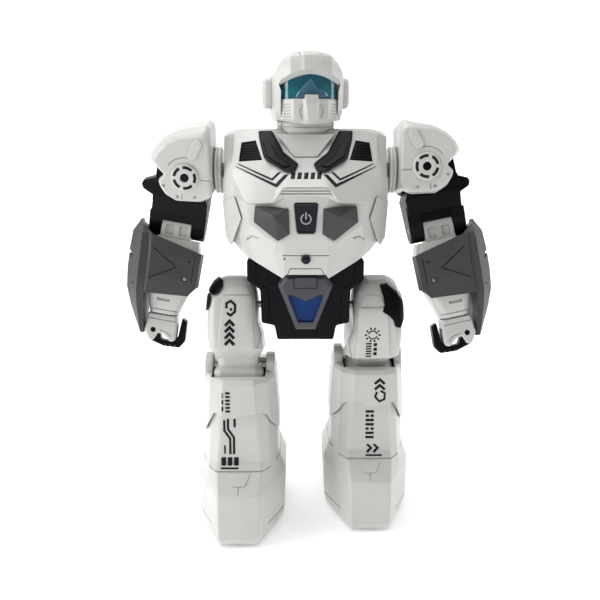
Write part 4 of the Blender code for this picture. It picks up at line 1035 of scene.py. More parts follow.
def build_back():
    """The back shell with its speaker slots, screws and panel lines, and the openings for door and switch."""
    back = made("chest_back_looks", skinned([both_halves(row) for row in BACK_ROWS]), "torso", closed=False)
    faced(back, "back")
    thickened(back, 3.0)
    eased(back, 1.6, 11.0, 4)
    skin = Skin(back)
    build_flanks("back_wings",
                 [(44, 0.2, 240), (56.5, 0.2, 236), (56.0, 0.2, 211.5), (50, 0.2, 206), (38, 0.2, 222)],
                 [(44, 16, 238), (54.5, 15, 235), (54.0, 15, 214), (50, 16, 209), (38, 16, 222)], 1.2)
    screws = [(s * x, z) for s in (-1, 1) for x, z in ((34.0, 262.0), (34.0, 210.0))]
    holes = neck_holes()
    holes += [pushed(rounded(-21.5, 21.5, 211.5, 247.5, 3.2), "back", 35.2, 60.0),
              pushed(rounded(-7.0, 7.0, 205.2, 208.8, 0.6), "back", 28.0, 60.0)]
    holes += [pushed(rounded(-12.0, 12.0, z, z + 1.4, 0.5), "back", 20.0, 60.0)
              for z in [252.0 + 3.2 * i for i in range(5)]]
    holes += [turned([(2.6, skin.depth("back", a, b) - 2.2), (2.6, 60.0)], "back", (a, b), 24) for a,
              b in screws]
    grooves = [trench(skin, [(s * 27.5, 250.0), (s * 27.5, 216.0), (s * 22.0, 203.0)], "back",
                      *DEEP_LINE) for s in (-1, 1)]
    grooves += [trench(skin, [(s * 17.0, 275.5), (s * 30.0, 271.0), (s * 42.0, 262.0)], "back", *DEEP_LINE)
                for s in (-1, 1)]
    carved(back, holes)
    carved(back, grooves)
    crisp(back)
    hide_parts("chest_back_shell")
    skin = Skin(back)
    for i, (a, b) in enumerate(screws):
        screw(skin, a, b, "back", f"back_screw_{i}")


def build_battery_door():
    """The battery door with its three chevrons and its screw."""
    slab = pushed(rounded(-21.0, 21.0, 212.0, 247.0, 3.0), "back", 35.3, 37.8)
    door = made("battery_door_looks", slab, "torso")
    eased(door, 0.6, 30.0, 3)
    panel = Skin(door)
    marks = [trench(panel, [(-9.0, z), (0.0, z - 3.0), (9.0, z)], "back", 0.9, 0.6) for z in (222.0, 225.0,
                                                                                              228.0)]
    marks += [turned([(2.6, 36.4), (2.6, 50.0)], "back", DOOR_SCREW, 24)]
    crisp(carved(door, marks))
    screw(Skin(door), *DOOR_SCREW, "back", "battery_door_screw")
    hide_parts("battery_door")


def build_power_switch():
    """The slide switch with three grip ridges."""
    bar = pushed(rounded(-5.4, -1.0, 205.7, 208.3, 0.4), "back", 27.2, 37.6)
    slider = made("power_switch_looks", bar, "switch", "black_plastic")
    eased(slider, 0.3, 30.0, 2)
    ridges = [slit([(x, 205.0), (x, 209.0)], 0.4, 37.1, 38.5) for x in (-4.3, -3.2, -2.1)]
    crisp(carved(slider, ridges))
    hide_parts("power_switch")


def build_pelvis():
    """The black pelvis under the belt."""
    outline = mirrored(PELVIS)
    body = made("pelvis_looks", pushed(outline, "front", -22.0, 22.0), "torso", "black_plastic")
    eased(body, 1.4, 30.0, 3)
    hollow = mirrored([(17.0, 142.0), (19.0, 152.0), (27.6, 154.0), (28.0, 176.5), (37.0, 184.0),
                       (37.0, 194.4),
                       (31.0, 199.4), (31.0, 215.0)])
    hip = pin("right_hip_swing") / MM
    bore = turned([(HIP_BORE, -45.0), (HIP_BORE, 45.0)], "outer", (hip.y, hip.z), 24)
    carved(body, [pushed(hollow, "front", -19.0, 19.0)])
    carved(body, [bore])
    skin = Skin(body)
    lines = [trench(skin, [(s * 33.8, 196.0), (s * 33.8, 181.0), (s * 25.0, 175.0), (s * 25.0, 152.5)],
                    "front", *PANEL_LINE)
             for s in (-1, 1)]
    lines.append(draped(skin, [(-10.6, 138.0), (10.6, 138.0), (8.6, 147.6), (-8.6, 147.6)], "front", -1.6,
                        3.0, 3.0))
    lines += [trench(skin, [(-18.0, z), (18.0, z)], "back", 0.9, 0.8) for z in (146.0, 150.0, 154.0)]
    crisp(carved(body, lines))
    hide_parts("pelvis_shell")


# ---------------------------------------------------------------- arms

# Shoulder pad seen from the front, outwards and up from the shoulder's centre: its rim and its face.
PAD = [(-18.0, -12.0), (-18.0, 30.0), (-15.0, 33.0), (-10.5, 31.8), (4.5, 29.2), (14.0, 25.0), (21.0, 18.6),
       (24.0, 12.0), (21.5, 8.2), (14.4, 1.6), (19.2, -2.2), (18.3, -6.2), (14.6, -12.6), (7.2, -17.4),
       (-10.0, -18.2), (-16.6, -15.0)]
PAD_FACE = [(-16.6, -11.4), (-16.6, 22.0), (-14.0, 25.0), (-9.6, 25.4), (3.6, 24.4), (11.6, 20.6),
            (17.6, 14.6),
            (19.8, 10.6), (18.2, 8.0), (13.4, 1.6), (17.2, -2.6), (16.6, -5.8), (13.4, -11.4), (6.4, -15.8),
            (-9.6, -16.6), (-15.4, -13.8)]
HUB = [(9.4, 21.0), (9.4, 23.9), (8.9, 24.6), (8.2, 24.9), (3.6, 25.1), (3.0, 24.8), (2.8, 24.2),
       (2.8, 21.0)]
GAUNTLET_SCREW = (-9.6, -36.6)
PAD_SPACE = [(-14.8, -40.0), (-14.8, 20.6), (-12.0, 27.4), (3.6, 25.2), (12.2, 21.2), (18.0, 15.6),
             (20.6, 11.0),
             (21.4, 7.6), (45.0, 3.0), (45.0, -40.0)]


def build_shoulder(side):
    """Both halves of the shoulder pad with hub and boss, and the flange towards the torso."""
    body = f"{side}_shoulder"
    for view, sign in (("front", -1), ("back", 1)):
        rings = [[(u, sign * v, w) for u, w in mixed(PAD, PAD_FACE, share)]
                 for v, share in ((0.15, 0.0), (13.0, 0.0), (19.5, 0.35), (23.4, 1.0))]
        pad = made(f"{side}_pad_{view}_looks", lofted(rings), body)
        eased(pad, 1.3, 12.0, 3)
        skin = Skin(pad)
        bore = [(HIP_BORE, sign * 10.0), (HIP_BORE, sign * 40.0)]
        carved(pad, [pushed(PAD_SPACE, "front", -16.6, 16.6), turned(bore, view)])
        lines = [trench(skin, arc_path(13.2, 38.0, 104.0), view, *FINE_LINE),
                 trench(skin, [(-10.2, -2.0), (-16.4, -2.4)], view, *FINE_LINE),
                 trench(skin, [(2.4, -11.0), (2.8, -15.0)], view, *FINE_LINE)]
        lines += [dimple(skin, view, a, b, 1.0, 0.7) for a,
                  b in ((14.2, -5.2), (5.6, -12.8), (-6.0, -13.4))]
        carved(pad, lines)
        crisp(pad)
        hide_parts(f"{side}_pad_{view}_shell")
        profile = [(radius, sign * depth) for radius, depth in HUB]
        hub = made(f"{side}_{view}_hub", hooped(profile, view), body)
        crisp(hub)
        raised = draped(skin, pill((-5.6, 14.6), (-9.4, 21.6), 6.6), view, -0.6, 1.3, 1.5)
        crisp(eased(made(f"{side}_{view}_boss", raised, body), 0.6, 35.0, 3))
        marks = [arc(7.9, 1.9, start, start + 52.0, steps=6) for start in (12.0, 84.0, 156.0, 228.0, 300.0)]
        printed(Skin(hub), marks, view, f"{side}_{view}_hub_marks")
    profile = [(5.0, -34.5), (5.0, -23.3), (15.4, -23.3), (16.0, -22.6), (16.0, -21.6), (15.3, -21.2),
               (15.3, -20.7),
               (16.0, -20.3), (16.0, -19.4), (14.8, -18.3)]
    flange = made(f"{side}_shoulder_flange_looks", turned(profile, "outer", sides=64), body)
    crisp(flange)
    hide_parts(f"{side}_shoulder_flange")


def gauntlet_ring(w, reach, edge, front, back, inner):
    """One level of the gauntlet, a C round the outside of the forearm with a valley along its front."""
    near = max(-8.0, front + 5.0)
    return [(-19.6, -9.0, w), (-18.4, front + 2.4, w), (edge - 1.8, front, w), (edge, front + 1.7, w),
            (edge + (reach - edge) * 0.35, front + 1.0, w), (reach, 0.18 * front, w), (reach, 4.0, w),
            (edge, back, w), (-8.0, back - 1.0, w), (-8.0, back - 3.4, w), (inner - 2.0, back - 3.4, w),
            (inner, 4.0, w), (inner, near, w), (inner - 2.4, front + 4.6, w), (-16.6, front + 4.8, w),
            (-17.2, -9.0, w)]


def build_elbow_web(side):
    """Closes the gap between the arm and the tongue, hollowed round the elbow's axis."""
    block = pushed(rounded(-8.2, 13.8, -36.0, -24.0, 0.4), "front", -10.0, 10.0)
    web = made(f"{side}_elbow_web", block, f"{side}_upper_arm", "black_plastic")
    elbow = PLACES[f"{side}_upper_arm"].inverted() @ pin(f"{side}_elbow_bend")
    carved(web, [turned([(10.3, -30.0), (10.3, 40.0)], "outer", (elbow.y, elbow.z), 48)])
    crisp(web)


def build_forearm(side):
    """The forearm with the tongue that takes the elbow pin."""
    levels = [(-10.4, -14.6, 15.4, -11.5, 12.0), (-18.0, -16.4, 16.6, -14.8, 14.4),
              (-34.0, -16.4, 16.8, -15.2, 14.6),
              (-48.0, -13.6, 15.8, -13.6, 13.6), (-60.0, -9.6, 13.2, -11.0, 11.4),
              (-64.6, -8.2, 12.2, -9.6, 10.2)]
    rings = [[(u, v, w) for u, v in rounded(u0, u1, v0, v1, 6.0, 5)] for w, u0, u1, v0, v1 in levels]
    tongue = [(-8.2, -20.0), (8.2, -20.0), (8.8, -3.0), (8.0, 3.6), (4.0, 8.2), (-4.0, 8.2), (-8.0, 3.6),
              (-8.8, -3.0)]
    shell = made(f"{side}_forearm_looks", lofted(rings), f"{side}_forearm")
    carved(shell, [pushed(tongue, "outer", -7.4, 13.0)], "UNION")
    eased(shell, 0.8, 22.0, 3)
    skin = Skin(shell)
    cuff = [(-7.8, -61.6), (11.6, -61.6)]
    cuts = [turned([(PIN_BORE, -30.0), (PIN_BORE, 40.0)], "outer"),
            trench(skin, cuff, "front", 0.6, 0.6),
            trench(skin, [(-1.5, -54.0), (7.5, -54.0)], "front", 2.0, 1.0),
            trench(skin, cuff, "back", 0.6, 0.6)]
    cuts += [draped(skin, rounded(u, u + 5.6, -8.0, -1.2, 0.8), view, -1.2, 2.0) for u in (-5.2, 4.4)
             for view in ("front", "back")]
    crisp(carved(shell, cuts))
    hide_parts(f"{side}_forearm_shell")


def build_gauntlet(side):
    """The grey guard round the outside of the forearm, with its grooves, dimples and screw."""
    levels = [(-0.6, 28.6, 24.0, -8.0, 6.0, 24.4), (-10.0, 33.0, 19.6, -17.6, 18.4, 24.0),
              (-22.0, 33.2, 17.8, -21.4, 19.2, 18.4), (-37.0, 32.6, 17.0, -21.8, 19.2, 18.0),
              (-50.0, 31.0, 17.0, -20.4, 18.4, 17.4), (-62.0, 26.6, 17.0, -15.4, 15.0, 15.4),
              (-80.6, 17.4, 15.0, -8.6, 8.6, 13.6)]
    rings = [gauntlet_ring(*level) for level in levels]
    guard = made(f"{side}_gauntlet_looks", lofted(rings), f"{side}_forearm", "grey_plastic")
    above = [(-40.0, 10.0), (27.4, 10.0), (27.4, -2.4), (17.0, -9.8), (-16.2, -17.6), (-40.0, -24.0)]
    below = [(-40.0, -42.0), (-18.6, -42.0), (-13.6, -48.4), (16.9, -50.6), (12.6, -90.0), (-40.0, -90.0)]
    carved(guard, [pushed(above, "front", -40.0, 40.0), pushed(below, "front", -40.0, 40.0)])
    eased(guard, 0.7, 18.0, 3)
    skin = Skin(guard)
    cuts = [trench(skin, [(14.5, -18.5), (-3.0, -29.5), (14.5, -39.5)], "front", 0.9, 0.7),
            trench(skin, [(-14.6, -20.5), (-14.6, -39.5)], "front", 0.6, 0.6),
            trench(skin, arc_path(9.0, 35.0, 145.0, (-2.0, -34.0)), "outer", 2.4, 1.2),
            trench(skin, [(-8.0, -50.0), (2.0, -66.0)], "outer", 0.8, 0.6)]
    cuts += [dimple(skin, "front", a, b, 0.9, 0.7) for a,
             b in ((-11.0, -24.0), (24.0, -16.0), (26.0, -46.0))]
    cuts += [dimple(skin, "front", *GAUNTLET_SCREW, 2.1, 1.2)]
    crisp(carved(guard, cuts))
    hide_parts(f"{side}_gauntlet")
    screw(Skin(guard), *GAUNTLET_SCREW, "front", f"{side}_gauntlet_screw", 1.5)


def build_hand(side):
    """The palm with its thumb and fingers in one, slotted for the claw."""
    palm = [(-8.0, -65.0), (12.2, -65.0), (13.6, -78.0), (8.8, -85.4), (5.6, -84.4), (3.4, -79.0),
            (-0.8, -79.4),
            (-6.4, -84.2), (-9.6, -82.6), (-9.4, -76.0)]
    rings = [[(1.0 + (u - 1.0) * k, v, -74.0 + (w + 74.0) * k) for u, w in palm]
             for v, k in ((-9.4, 0.93), (-7.6, 1.0), (7.6, 1.0), (9.4, 0.93))]
    hand = made(f"{side}_hand_looks", lofted(rings), f"{side}_forearm")
    eased(hand, 0.7, 18.0, 3)
    slot = [(-20.0, -71.5), (12.0, -71.5), (20.0, -76.0), (20.0, -95.0), (-20.0, -95.0)]
    carved(hand, [pushed(slot, "front", -4.9, 4.9), turned([(1.9, -20.0), (1.9, 20.0)], "front",
                                                           (7.0, -77.0), 24)])
    skin = Skin(hand)
    lines = [trench(skin, path, view, *HAIR_LINE)
             for path in ([(-7.6, -69.0), (11.2, -69.0)], [(-6.6, -80.4), (-3.2, -77.4), (2.2, -76.6)])
             for view in ("front", "back")]
    crisp(carved(hand, lines))
    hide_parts(f"{side}_hand")


def build_claw(side):
    """The hooked claw on its pin, with three ribs cut across it."""
    outline = [(-3.6, 3.2), (3.2, 3.6), (4.1, -2.0), (1.9, -8.6), (-9.0, -11.6), (-20.0, -11.0),
               (-23.2, -6.0),
               (-22.4, 8.6), (-18.6, 10.4), (-17.8, -3.4), (-14.4, -7.6), (-6.2, -7.2), (-4.4, -3.0)]
    claw = made(f"{side}_claw_looks", pushed(outline, "front", -4.5, 4.5), f"{side}_claw", "black_plastic")
    eased(claw, 0.9, 18.0, 3)
    carved(claw, [turned([(1.5, -8.8), (1.5, 8.8)], "front", sides=24)], "UNION")
    ribs = [pushed(band([(u, -13.0), (u + 0.6, -9.4)], 0.6), "front", -6.0, 6.0) for u in (-17.0, -13.6,
                                                                                           -10.2)]
    crisp(carved(claw, ribs))
    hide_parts(f"{side}_claw")


# ---------------------------------------------------------------- legs

HIP_CAPS = {"right": [[(23.4, 9.7), (23.3, 16.8), (17.2, 20.9), (12.2, 17.6), (11.3, 13.3), (13.9, 8.6),
                       (17.5, 6.8)],
                      [(30.0, -2.0), (30.0, 8.5), (21.7, 8.2), (19.9, 4.6), (20.9, -0.6), (23.0, -4.0)]],
            "left": [[(5.9, 19.5), (11.0, 20.0), (18.0, 15.2), (22.8, 8.0), (23.8, -2.3), (20.8, -8.0),
                      (16.8, -6.2),
                      (15.4, -1.7), (12.4, 1.4), (7.8, 4.2), (9.0, 8.4), (8.2, 13.4)]]}


# Thigh levels: height, then inner, outer, front and back reach.
THIGH_LEVELS = [
    (20.9, -3.0, 11.0, -4.0, 5.0), (19.4, -6.6, 14.6, -8.0, 9.0), (16.0, -9.6, 18.4, -12.0, 12.8),
    (11.0, -11.6, 21.0, -15.6, 15.6), (4.0, -12.4, 22.4, -19.8, 18.6), (-5.0, -12.6, 22.8, -22.4, 20.2),
    (-12.0, -13.0, 22.8, -23.6, 20.6), (-21.0, -16.2, 22.6, -24.4, 20.2), (-31.0, -17.2, 21.4, -24.8, 19.0),
    (-34.2, -15.6, 18.8, -21.0, 17.4), (-38.0, -13.0, 16.6, -17.0, 15.4), (-46.0, -12.6, 15.8, -14.6, 14.2),
    (-58.0, -15.4, 17.4, -10.0, 9.6), (-61.6, -14.0, 16.0, -4.0, 4.0),
]
KNEE_CUP = [(-43.5, -13.8, 16.0, -14.5, 14.0), (-47.0, -16.6, 18.6, -18.0, 17.6),
            (-51.0, -17.0, 18.9, -18.4, 18.0), (-56.0, -15.6, 17.6, -15.0, 14.6)]
CAP_WALL = 1.1
DIAL = (1.1, -12.3)


def thigh_ring(level, grow=0.0):
    """One level of the thigh, grown outwards by that much."""
    w, u0, u1, v0, v1 = level
    radius = min(7.5, (v1 - v0) * 0.33) + grow
    return [(u, v, w) for u, v in rounded(u0 - grow, u1 + grow, v0 - grow, v1 + grow, radius, 5)]


def build_thigh(side):
    """The thigh, hollowed for the hip block and slotted for the knee, with a raised panel on its front."""
    body = f"{side}_thigh"
    rings = [thigh_ring(level) for level in THIGH_LEVELS]
    thigh = made(f"{side}_thigh_looks", lofted(rings), body)
    eased(thigh, 0.8, 14.0, 3)
    skin = Skin(thigh)
    hollow = [[(u, v, min(w, 16.0)) for u, v in rounded(u0 + 2.6, u1 - 2.6, v0 + 2.6, v1 - 2.6, 3.0)]
              for w, u0, u1, v0, v1 in THIGH_LEVELS[2:-1]]
    slot = pushed(rounded(-6.0, 6.0, -75.0, -20.0, 1.0), "outer", -10.0, 10.0)
    bores = [turned([(HIP_BORE, -40.0), (HIP_BORE, 21.0)], "outer", sides=32),
             turned([(PIN_BORE, -40.0), (PIN_BORE, 40.0)], "outer", (0.0, -KNEE_DROP[side]), 32)]
    carved(thigh, [lofted(hollow)])
    carved(thigh, [slot] + bores)
    cuts = [trench(skin, [(0.6, 13.6), (0.8, 8.2)], "front", *FINE_LINE),
            trench(skin, [(-13.0, -30.4), (-15.2, -20.4)], "front", *FINE_LINE),
            trench(skin, [(2.8, 15.0), (2.8, -30.0)], "back", *FINE_LINE)]
    crisp(carved(thigh, cuts))
    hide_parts(f"{side}_thigh_shell")
    raised = draped(skin, [(11.4, 6.4), (-9.2, 6.4), (-11.4, -31.5), (14.6, -31.1)], "front", -0.8, 0.9,
                    2.4)
    panel = made(f"{side}_thigh_panel", raised, body)
    crisp(eased(panel, 0.7, 35.0, 3))
    raised = draped(skin, [(10.4, 7.0), (5.8, 13.6), (-4.0, 14.1), (-8.6, 7.0)], "front", -0.8, 0.5, 2.4)
    crisp(eased(made(f"{side}_thigh_facet", raised, body), 0.4, 35.0, 3))
    build_hip_caps(side, rings)
    cup = [[(u, v, w) for u, v in rounded(u0, u1, v0, v1, 7.0, 5)] for w, u0, u1, v0, v1 in KNEE_CUP]
    crisp(eased(made(f"{side}_knee_cup", lofted(cup), body), 0.9, 14.0, 3))
    print_thigh(side, Skin(panel))


def build_hip_caps(side, rings):
    """Two black caps that hug the top of the thigh."""
    swollen = [thigh_ring((w + CAP_WALL, *reach), CAP_WALL) for w, *reach in THIGH_LEVELS[:6]]
    swollen += [thigh_ring(level, CAP_WALL) for level in THIGH_LEVELS[6:9]]
    for index, outline in enumerate(HIP_CAPS[side]):
        cap = made(f"{side}_hip_cap_{index}", lofted(swollen), f"{side}_thigh", "black_plastic")
        carved(cap, [pushed(outline, "front", -40.0, 3.0)], "INTERSECT")
        carved(cap, [lofted(rings)])
        crisp(eased(cap, 0.5, 35.0, 3))
    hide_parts(f"{side}_hip_cap")


def print_thigh(side, face):
    """Generic marks: a bracket over chevrons on the right, a dial over bars and squares on the left."""
    if side == "right":
        marks = [band([(8.6, -2.6), (8.6, 1.0), (5.6, 2.6), (2.6, 0.0), (2.6, -4.8), (5.6, -7.4),
                       (8.2, -5.6)],
                      1.7),
                 band([(5.4, -2.2), (5.4, -4.2)], 1.5)]
        marks += [band([(9.4, z - 3.4), (6.2, z), (3.0, z - 3.4)], 2.1) for z in (-11.2, -15.6, -20.0,
                                                                                  -24.4)]
    else:
        rays = [math.radians(36.0 * i) for i in range(10)]
        marks = [band([spot_on(DIAL, 4.0, ray), spot_on(DIAL, 5.6, ray)], 1.1) for ray in rays]
        marks += [arc(3.4, 0.8, start, start + 150.0, DIAL, 8) for start in (15.0, 195.0)]
        marks += [rounded(-3.4, 0.6, z, z + 1.1, 0.2, 1) for z in (-19.6, -21.6, -23.6, -25.6, -27.6,
                                                                   -29.6)]
        marks += [rounded(2.0, 4.4, z, z + 2.4, 0.2, 1) for z in (-21.0, -24.6, -28.2)]
    printed(face, marks, "front", f"{side}_thigh_marks")


# Boot levels: height, front depth and half width, shoulder depth and half width, widest depth and half
# width, where the heel starts to taper, heel half width and depth.
BOOT_LEVELS = [
    (2.0, -52.0, 12.6, -38.0, 19.0, -12.0, 30.0, 36.0, 24.0, 53.0),
    (7.0, -53.8, 14.0, -38.0, 21.0, -12.0, 31.2, 36.0, 25.0, 54.0),
    (22.0, -53.0, 14.4, -36.0, 22.4, -10.0, 31.8, 36.0, 26.0, 54.0),
    (38.4, -50.8, 14.4, -33.0, 23.2, -8.0, 32.4, 34.0, 25.0, 52.0),
    (43.0, -45.6, 15.2, -31.0, 23.0, -6.0, 30.4, 32.0, 24.0, 49.0),
    (50.2, -38.8, 16.0, -29.0, 22.2, -8.0, 28.2, 29.0, 22.6, 44.0),
    (55.0, -33.8, 15.4, -26.6, 21.6, -8.0, 26.8, 27.0, 21.6, 41.0),
    (76.0, -31.6, 13.6, -25.2, 20.6, -8.0, 26.4, 25.0, 20.4, 37.0),
    (92.0, -30.0, 12.4, -24.0, 20.0, -8.0, 25.6, 23.0, 19.4, 34.0),
    (111.0, -29.0, 10.6, -23.0, 19.4, -8.0, 24.4, 21.6, 18.2, 31.0),
]
BAND_LEVELS = [
    (68.0, -34.6, 14.0, -27.4, 22.2, -8.0, 28.0, 26.0, 22.0, 40.0),
    (92.0, -32.6, 11.9, -25.8, 21.2, -8.0, 27.0, 24.0, 20.4, 36.0),
    (112.0, -31.2, 10.6, -24.6, 20.2, -8.0, 25.4, 22.4, 18.8, 32.6),
    (114.6, -28.6, 10.0, -23.0, 19.2, -8.0, 24.4, 21.0, 17.8, 30.4),
]
BAND_EDGE = [(30.0, 66.0), (24.6, 75.0), (21.3, 83.0), (17.4, 90.8), (6.1, 88.9), (0.6, 87.9), (-6.7, 90.8),
             (-16.7, 90.8), (-19.4, 88.9), (-25.7, 75.0), (-30.0, 68.0)]


BOOT_SCREW = (6.0, 66.0)
KNEE_EAR = [(-10.5, 100.0), (10.5, 100.0), (11.4, 113.0), (9.0, 121.5), (4.0, 125.4), (-4.0, 125.4),
            (-9.0, 121.5), (-11.4, 113.0)]


def boot_ring(level, shrink=0.0):
    """One level of the boot, drawn in by that much."""
    z, front, half_front, mid, half_mid, wide, half_wide, taper, half_back, back = level
    return whole_ring([(0.0, front + shrink, z), (half_front - shrink * 0.7, front + shrink, z),
                       (half_mid - shrink, mid + shrink * 0.6, z), (half_wide - shrink, wide, z),
                       (half_wide - shrink, taper, z), (half_back - shrink * 0.7, back - shrink, z),
                       (0.0, back - shrink, z)])


def build_boot(side):
    skin = build_boot_shell(side)
    band_skin = build_boot_band(side)
    build_knee_ears(side)
    print_boot(side, skin, band_skin)


def boot_well():
    """The open well that the thigh and its knee drop into."""
    return pushed([(19.7, -21.0), (19.7, 22.0), (-18.3, 22.0), (-18.3, -21.0)], "top", 84.0, 140.0)


def build_boot_shell(side):
    """The boot with its grooves, side recesses, screws and toe plate. Gives its skin for the print."""
    body = f"{side}_boot"
    boot = made(f"{side}_boot_looks", lofted([boot_ring(level) for level in BOOT_LEVELS]), body)
    eased(boot, 1.4, 10.0, 3)
    skin = Skin(boot)
    lower = [boot_ring(level, 2.8) for level in BOOT_LEVELS[1:8]]
    lower[0] = [(x, y, -2.0) for x, y, z in lower[0]]
    carved(boot, [lofted(lower)])
    carved(boot, [boot_well()])
    flanks = ("outer", "inner")
    cuts = [trench(skin, [(0.0, 39.0), (0.0, 50.0)], "front", 0.55, 0.5),
            trench(skin, [(0.0, 4.0), (0.0, 112.0)], "back", 0.55, 0.5),
            trench(skin, [(-21.6, 50.6), (-15.0, 50.6), (15.0, 50.6), (21.6, 50.6)], "front", *DEEP_LINE,
                   1.2)]
    cuts += [trench(skin, [(-40.0, 12.0), (-20.0, 10.0), (30.0, 10.0)], view,
                    *PANEL_LINE) for view in flanks]
    cuts += [trench(skin, [(-18.0, 50.4), (38.0, 50.4)], view, *PANEL_LINE) for view in flanks]
    cuts += [draped(skin, pill((6.0, 30.0), (26.0, 30.0), 8.0), view, -1.0, 2.5, 3.0) for view in flanks]
    cuts += [dimple(skin, view, *BOOT_SCREW, 2.6, 1.6) for view in flanks]
    carved(boot, cuts)
    crisp(boot)
    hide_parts(f"{side}_boot_outer_shell", f"{side}_boot_inner_shell")
    fitted = Skin(boot)
    for view in flanks:
        screw(fitted, *BOOT_SCREW, view, f"{side}_boot_screw_{view}", 1.8)
    raised = draped(skin, [(4.4, 43.2), (7.8, 49.6), (-7.8, 49.6), (-4.4, 43.2)], "front", -0.8, 0.9, 2.0)
    crisp(eased(made(f"{side}_toe_plate", raised, body), 0.5, 35.0, 3))
    return skin


def build_boot_band(side):
    """The band that flares over the top of the boot. Gives its skin for the print."""
    rings = [boot_ring(level) for level in BAND_LEVELS]
    guard = made(f"{side}_boot_band", lofted(rings), f"{side}_boot")
    below = BAND_EDGE + [(-60.0, 60.0), (60.0, 60.0)]
    carved(guard, [pushed(below, "front", -60.0, 60.0)])
    eased(guard, 0.8, 12.0, 3)
    skin = Skin(guard)
    space = [boot_ring(level, 1.2) for level in BOOT_LEVELS[6:9]]
    space[0] = [(x, y, 60.0) for x, y, z in space[0]]
    carved(guard, [boot_well()])
    carved(guard, [lofted(space)])
    crisp(guard)
    return skin


def build_knee_ears(side):
    """The two ears that hold the knee's pin."""
    ears = [pushed(KNEE_EAR, "outer", low, high) for low, high in ((19.7, 25.4), (-24.8, -18.3))]
    fork = made(f"{side}_knee_ears", merged(*ears), f"{side}_boot")
    eased(fork, 1.2, 20.0, 3)
    skin = Skin(fork)
    bore = turned([(2.5, -40.0), (2.5, 22.4)], "outer", (0.0, 115.0), 32)
    ring = arc_path(6.0, 0.0, 345.0, (0.0, 114.6), 24)
    rings = [trench(skin, ring, view, *FINE_LINE) for view in ("outer", "inner")]
    carved(fork, [bore])
    crisp(carved(fork, rings))


def print_boot(side, skin, band_skin):
    """Generic printed marks: bars, stripes and chevrons."""
    if side == "right":
        marks = [rounded(5.8, 9.0, z, z + 1.5, 0.2, 1) for z in (92.6, 95.2, 97.8, 100.4, 103.0, 105.6)]
        marks += [rounded(10.4, 11.6, z, z + 3.4, 0.2, 1) for z in (93.4, 98.2, 103.0)]
        printed(band_skin, marks, "front", "right_band_marks")
        lower = [band([(7.6, 87.0), (7.6, 79.6), (3.6, 73.6), (3.6, 61.6)], 1.6),
                 band([(10.2, 86.0), (10.2, 78.6), (6.2, 72.6), (6.2, 61.6)], 1.6)]
        lower += [rounded(2.2, 3.8, 81.0, 87.0, 0.2, 1), rounded(9.4, 10.6, 62.0, 68.0, 0.2, 1)]
        lower += [rounded(a, a + 3.4, 53.8, 59.4, 0.4, 1) for a in (0.4, 4.8, 9.2)]
        lower += [rounded(0.4, 12.8, 52.0, 52.9, 0.2, 1)]
        printed(skin, lower, "front", "right_boot_marks")
    else:
        marks = [band([(3.4, z), (7.0, z + 3.2), (10.6, z)], 1.9) for z in (101.4, 105.6)]
        marks += [band([(5.0, 99.6), (3.8, 96.0), (6.8, 92.6), (10.4, 94.2), (10.8, 98.6), (7.6, 100.4)],
                       1.5)]
        printed(band_skin, marks, "front", "left_band_marks")
        lower = [rounded(-2.6, 3.4, z, z + 1.8, 0.2, 1) for z in (64.0, 67.2, 73.6, 76.8, 83.2)]
        lower += [rounded(a, a + 2.4, z, z + 1.8, 0.2, 1) for a in (-2.6, 1.0) for z in (70.4, 80.0)]
        lower += [band([(a, 59.6), (a + 3.0, 56.8), (a, 54.0)], 1.6) for a in (-1.4, 3.4)]
        lower += [rounded(-2.6, 9.4, 52.0, 52.9, 0.2, 1)]
        printed(skin, lower, "front", "left_boot_marks")


# ---------------------------------------------------------------- stage

# Metres from the robot's origin, and degrees of pitch down, yaw and roll.
CAMERA_SPOT = (-0.006, -0.495, 0.283)
CAMERA_TURN = (13.7, -0.27, 0.0)
SWEEP = 1.5
SWEEP_STEPS = 12
WORLD_LIGHT = 0.2


def build_stage():
    """A pale floor that curves up into a backdrop."""
    found = bpy.data.materials.new("studio_paper")
    found.use_nodes = True
    tree = found.node_tree
    shader = tree.nodes["Principled BSDF"]
    shader.inputs["Roughness"].default_value = 0.9
    shader.inputs["Emission Color"].default_value = (1.0, 1.0, 1.0, 1.0)
    shader.inputs["Emission Strength"].default_value = 0.36
    grain = wired(tree, "ShaderNodeTexNoise", {"Scale": 3.0})
    tone = wired(tree, "ShaderNodeMapRange",
                 {"Value": grain.outputs["Fac"], "To Min": 0.93, "To Max": 0.95})
    white = wired(tree, "ShaderNodeCombineXYZ", {"X": tone.outputs["Result"], "Y": tone.outputs["Result"],
                                                 "Z": tone.outputs["Result"]})
    tree.links.new(white.outputs["Vector"], shader.inputs["Base Color"])
    profile = [(-6.0, 0.0), (1.2, 0.0)]
    turns = [math.pi / 2 * i / SWEEP_STEPS for i in range(1, SWEEP_STEPS + 1)]
    profile += [(1.2 + SWEEP * math.sin(t), SWEEP - SWEEP * math.cos(t)) for t in turns]
    profile.append((2.7, 6.0))
    points = [(x, y, z) for y, z in profile for x in (-6.0, 6.0)]
    faces = [[2 * i, 2 * i + 1, 2 * i + 3, 2 * i + 2] for i in range(len(profile) - 1)]
    mesh = bpy.data.meshes.new("backdrop")
    mesh.from_pydata(points, [], faces)
    mesh.shade_smooth()
    mesh.materials.append(found)
    backdrop = bpy.data.objects.new("backdrop", mesh)
    bpy.context.scene.collection.objects.link(backdrop)


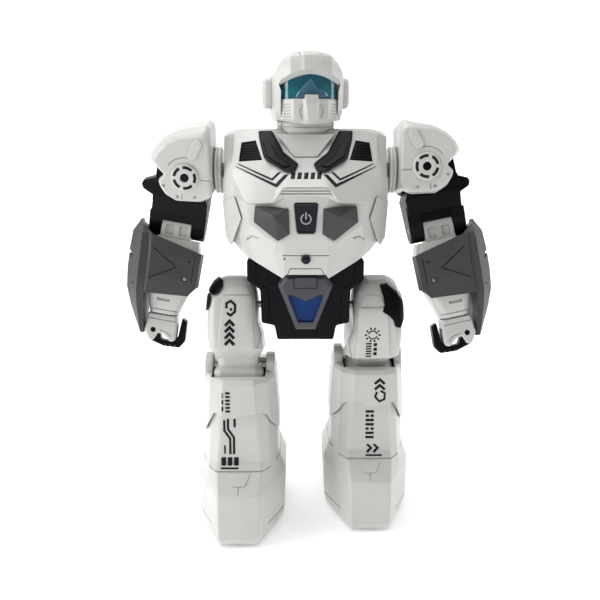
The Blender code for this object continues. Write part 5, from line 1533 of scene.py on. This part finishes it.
def lamp(name, spot, target, width, power):
    """A rectangular lamp that faces its target."""
    light = bpy.data.lights.new(name, "AREA")
    light.shape = "RECTANGLE"
    light.size, light.size_y = width
    light.energy = power
    holder = bpy.data.objects.new(name, light)
    holder.location = spot
    holder.rotation_euler = (Vector(target) - Vector(spot)).to_track_quat("-Z", "Y").to_euler()
    bpy.context.scene.collection.objects.link(holder)


def build_lights():
    """Soft light from above and from the robot's right, a weaker fill from the front and its left."""
    centre = (0.0, 0.0, 0.18)
    lamp("overhead", (-0.15, 0.05, 1.3), centre, (0.9, 0.8), 9.0)
    lamp("key", (-1.15, -0.35, 0.6), centre, (0.7, 0.9), 8.5)
    lamp("rim", (1.2, 0.15, 0.5), centre, (0.7, 0.9), 4.5)
    lamp("fill", (-0.4, -1.4, 0.9), centre, (0.6, 0.5), 1.0)
    lamp("paper", (0.0, 0.9, 1.5), (0.0, 2.4, 0.7), (1.6, 0.4), 22.0)
    world = bpy.data.worlds.new("studio")
    world.use_nodes = True
    world.node_tree.nodes["Background"].inputs["Color"].default_value = (1.0, 1.0, 1.0, 1.0)
    world.node_tree.nodes["Background"].inputs["Strength"].default_value = WORLD_LIGHT
    bpy.context.scene.world = world
    bpy.context.scene.view_settings.view_transform = "Standard"


def build_camera():
    """The view of the photo."""
    data = bpy.data.cameras.new("view")
    data.lens = 42.0
    data.sensor_width = 36.0
    data.clip_start = 0.01
    holder = bpy.data.objects.new("view", data)
    holder.location = CAMERA_SPOT
    pitch, yaw, roll = (math.radians(angle) for angle in CAMERA_TURN)
    holder.rotation_euler = (math.pi / 2 - pitch, roll, yaw)
    bpy.context.scene.collection.objects.link(holder)
    bpy.context.scene.camera = holder


dress_nodes()
build_helmet()
build_brow_lining()
build_visor()
build_mask()
build_ears()
build_neck()
build_chest()
build_power_button()
build_infrared_window()
build_belt_plate()
build_belt_light()
build_back()
build_battery_door()
build_power_switch()
build_pelvis()
for side in SIDES:
    build_shoulder(side)
    build_elbow_web(side)
    build_forearm(side)
    build_gauntlet(side)
    build_hand(side)
    build_claw(side)
    build_thigh(side)
    build_boot(side)
build_stage()
build_lights()
build_camera()
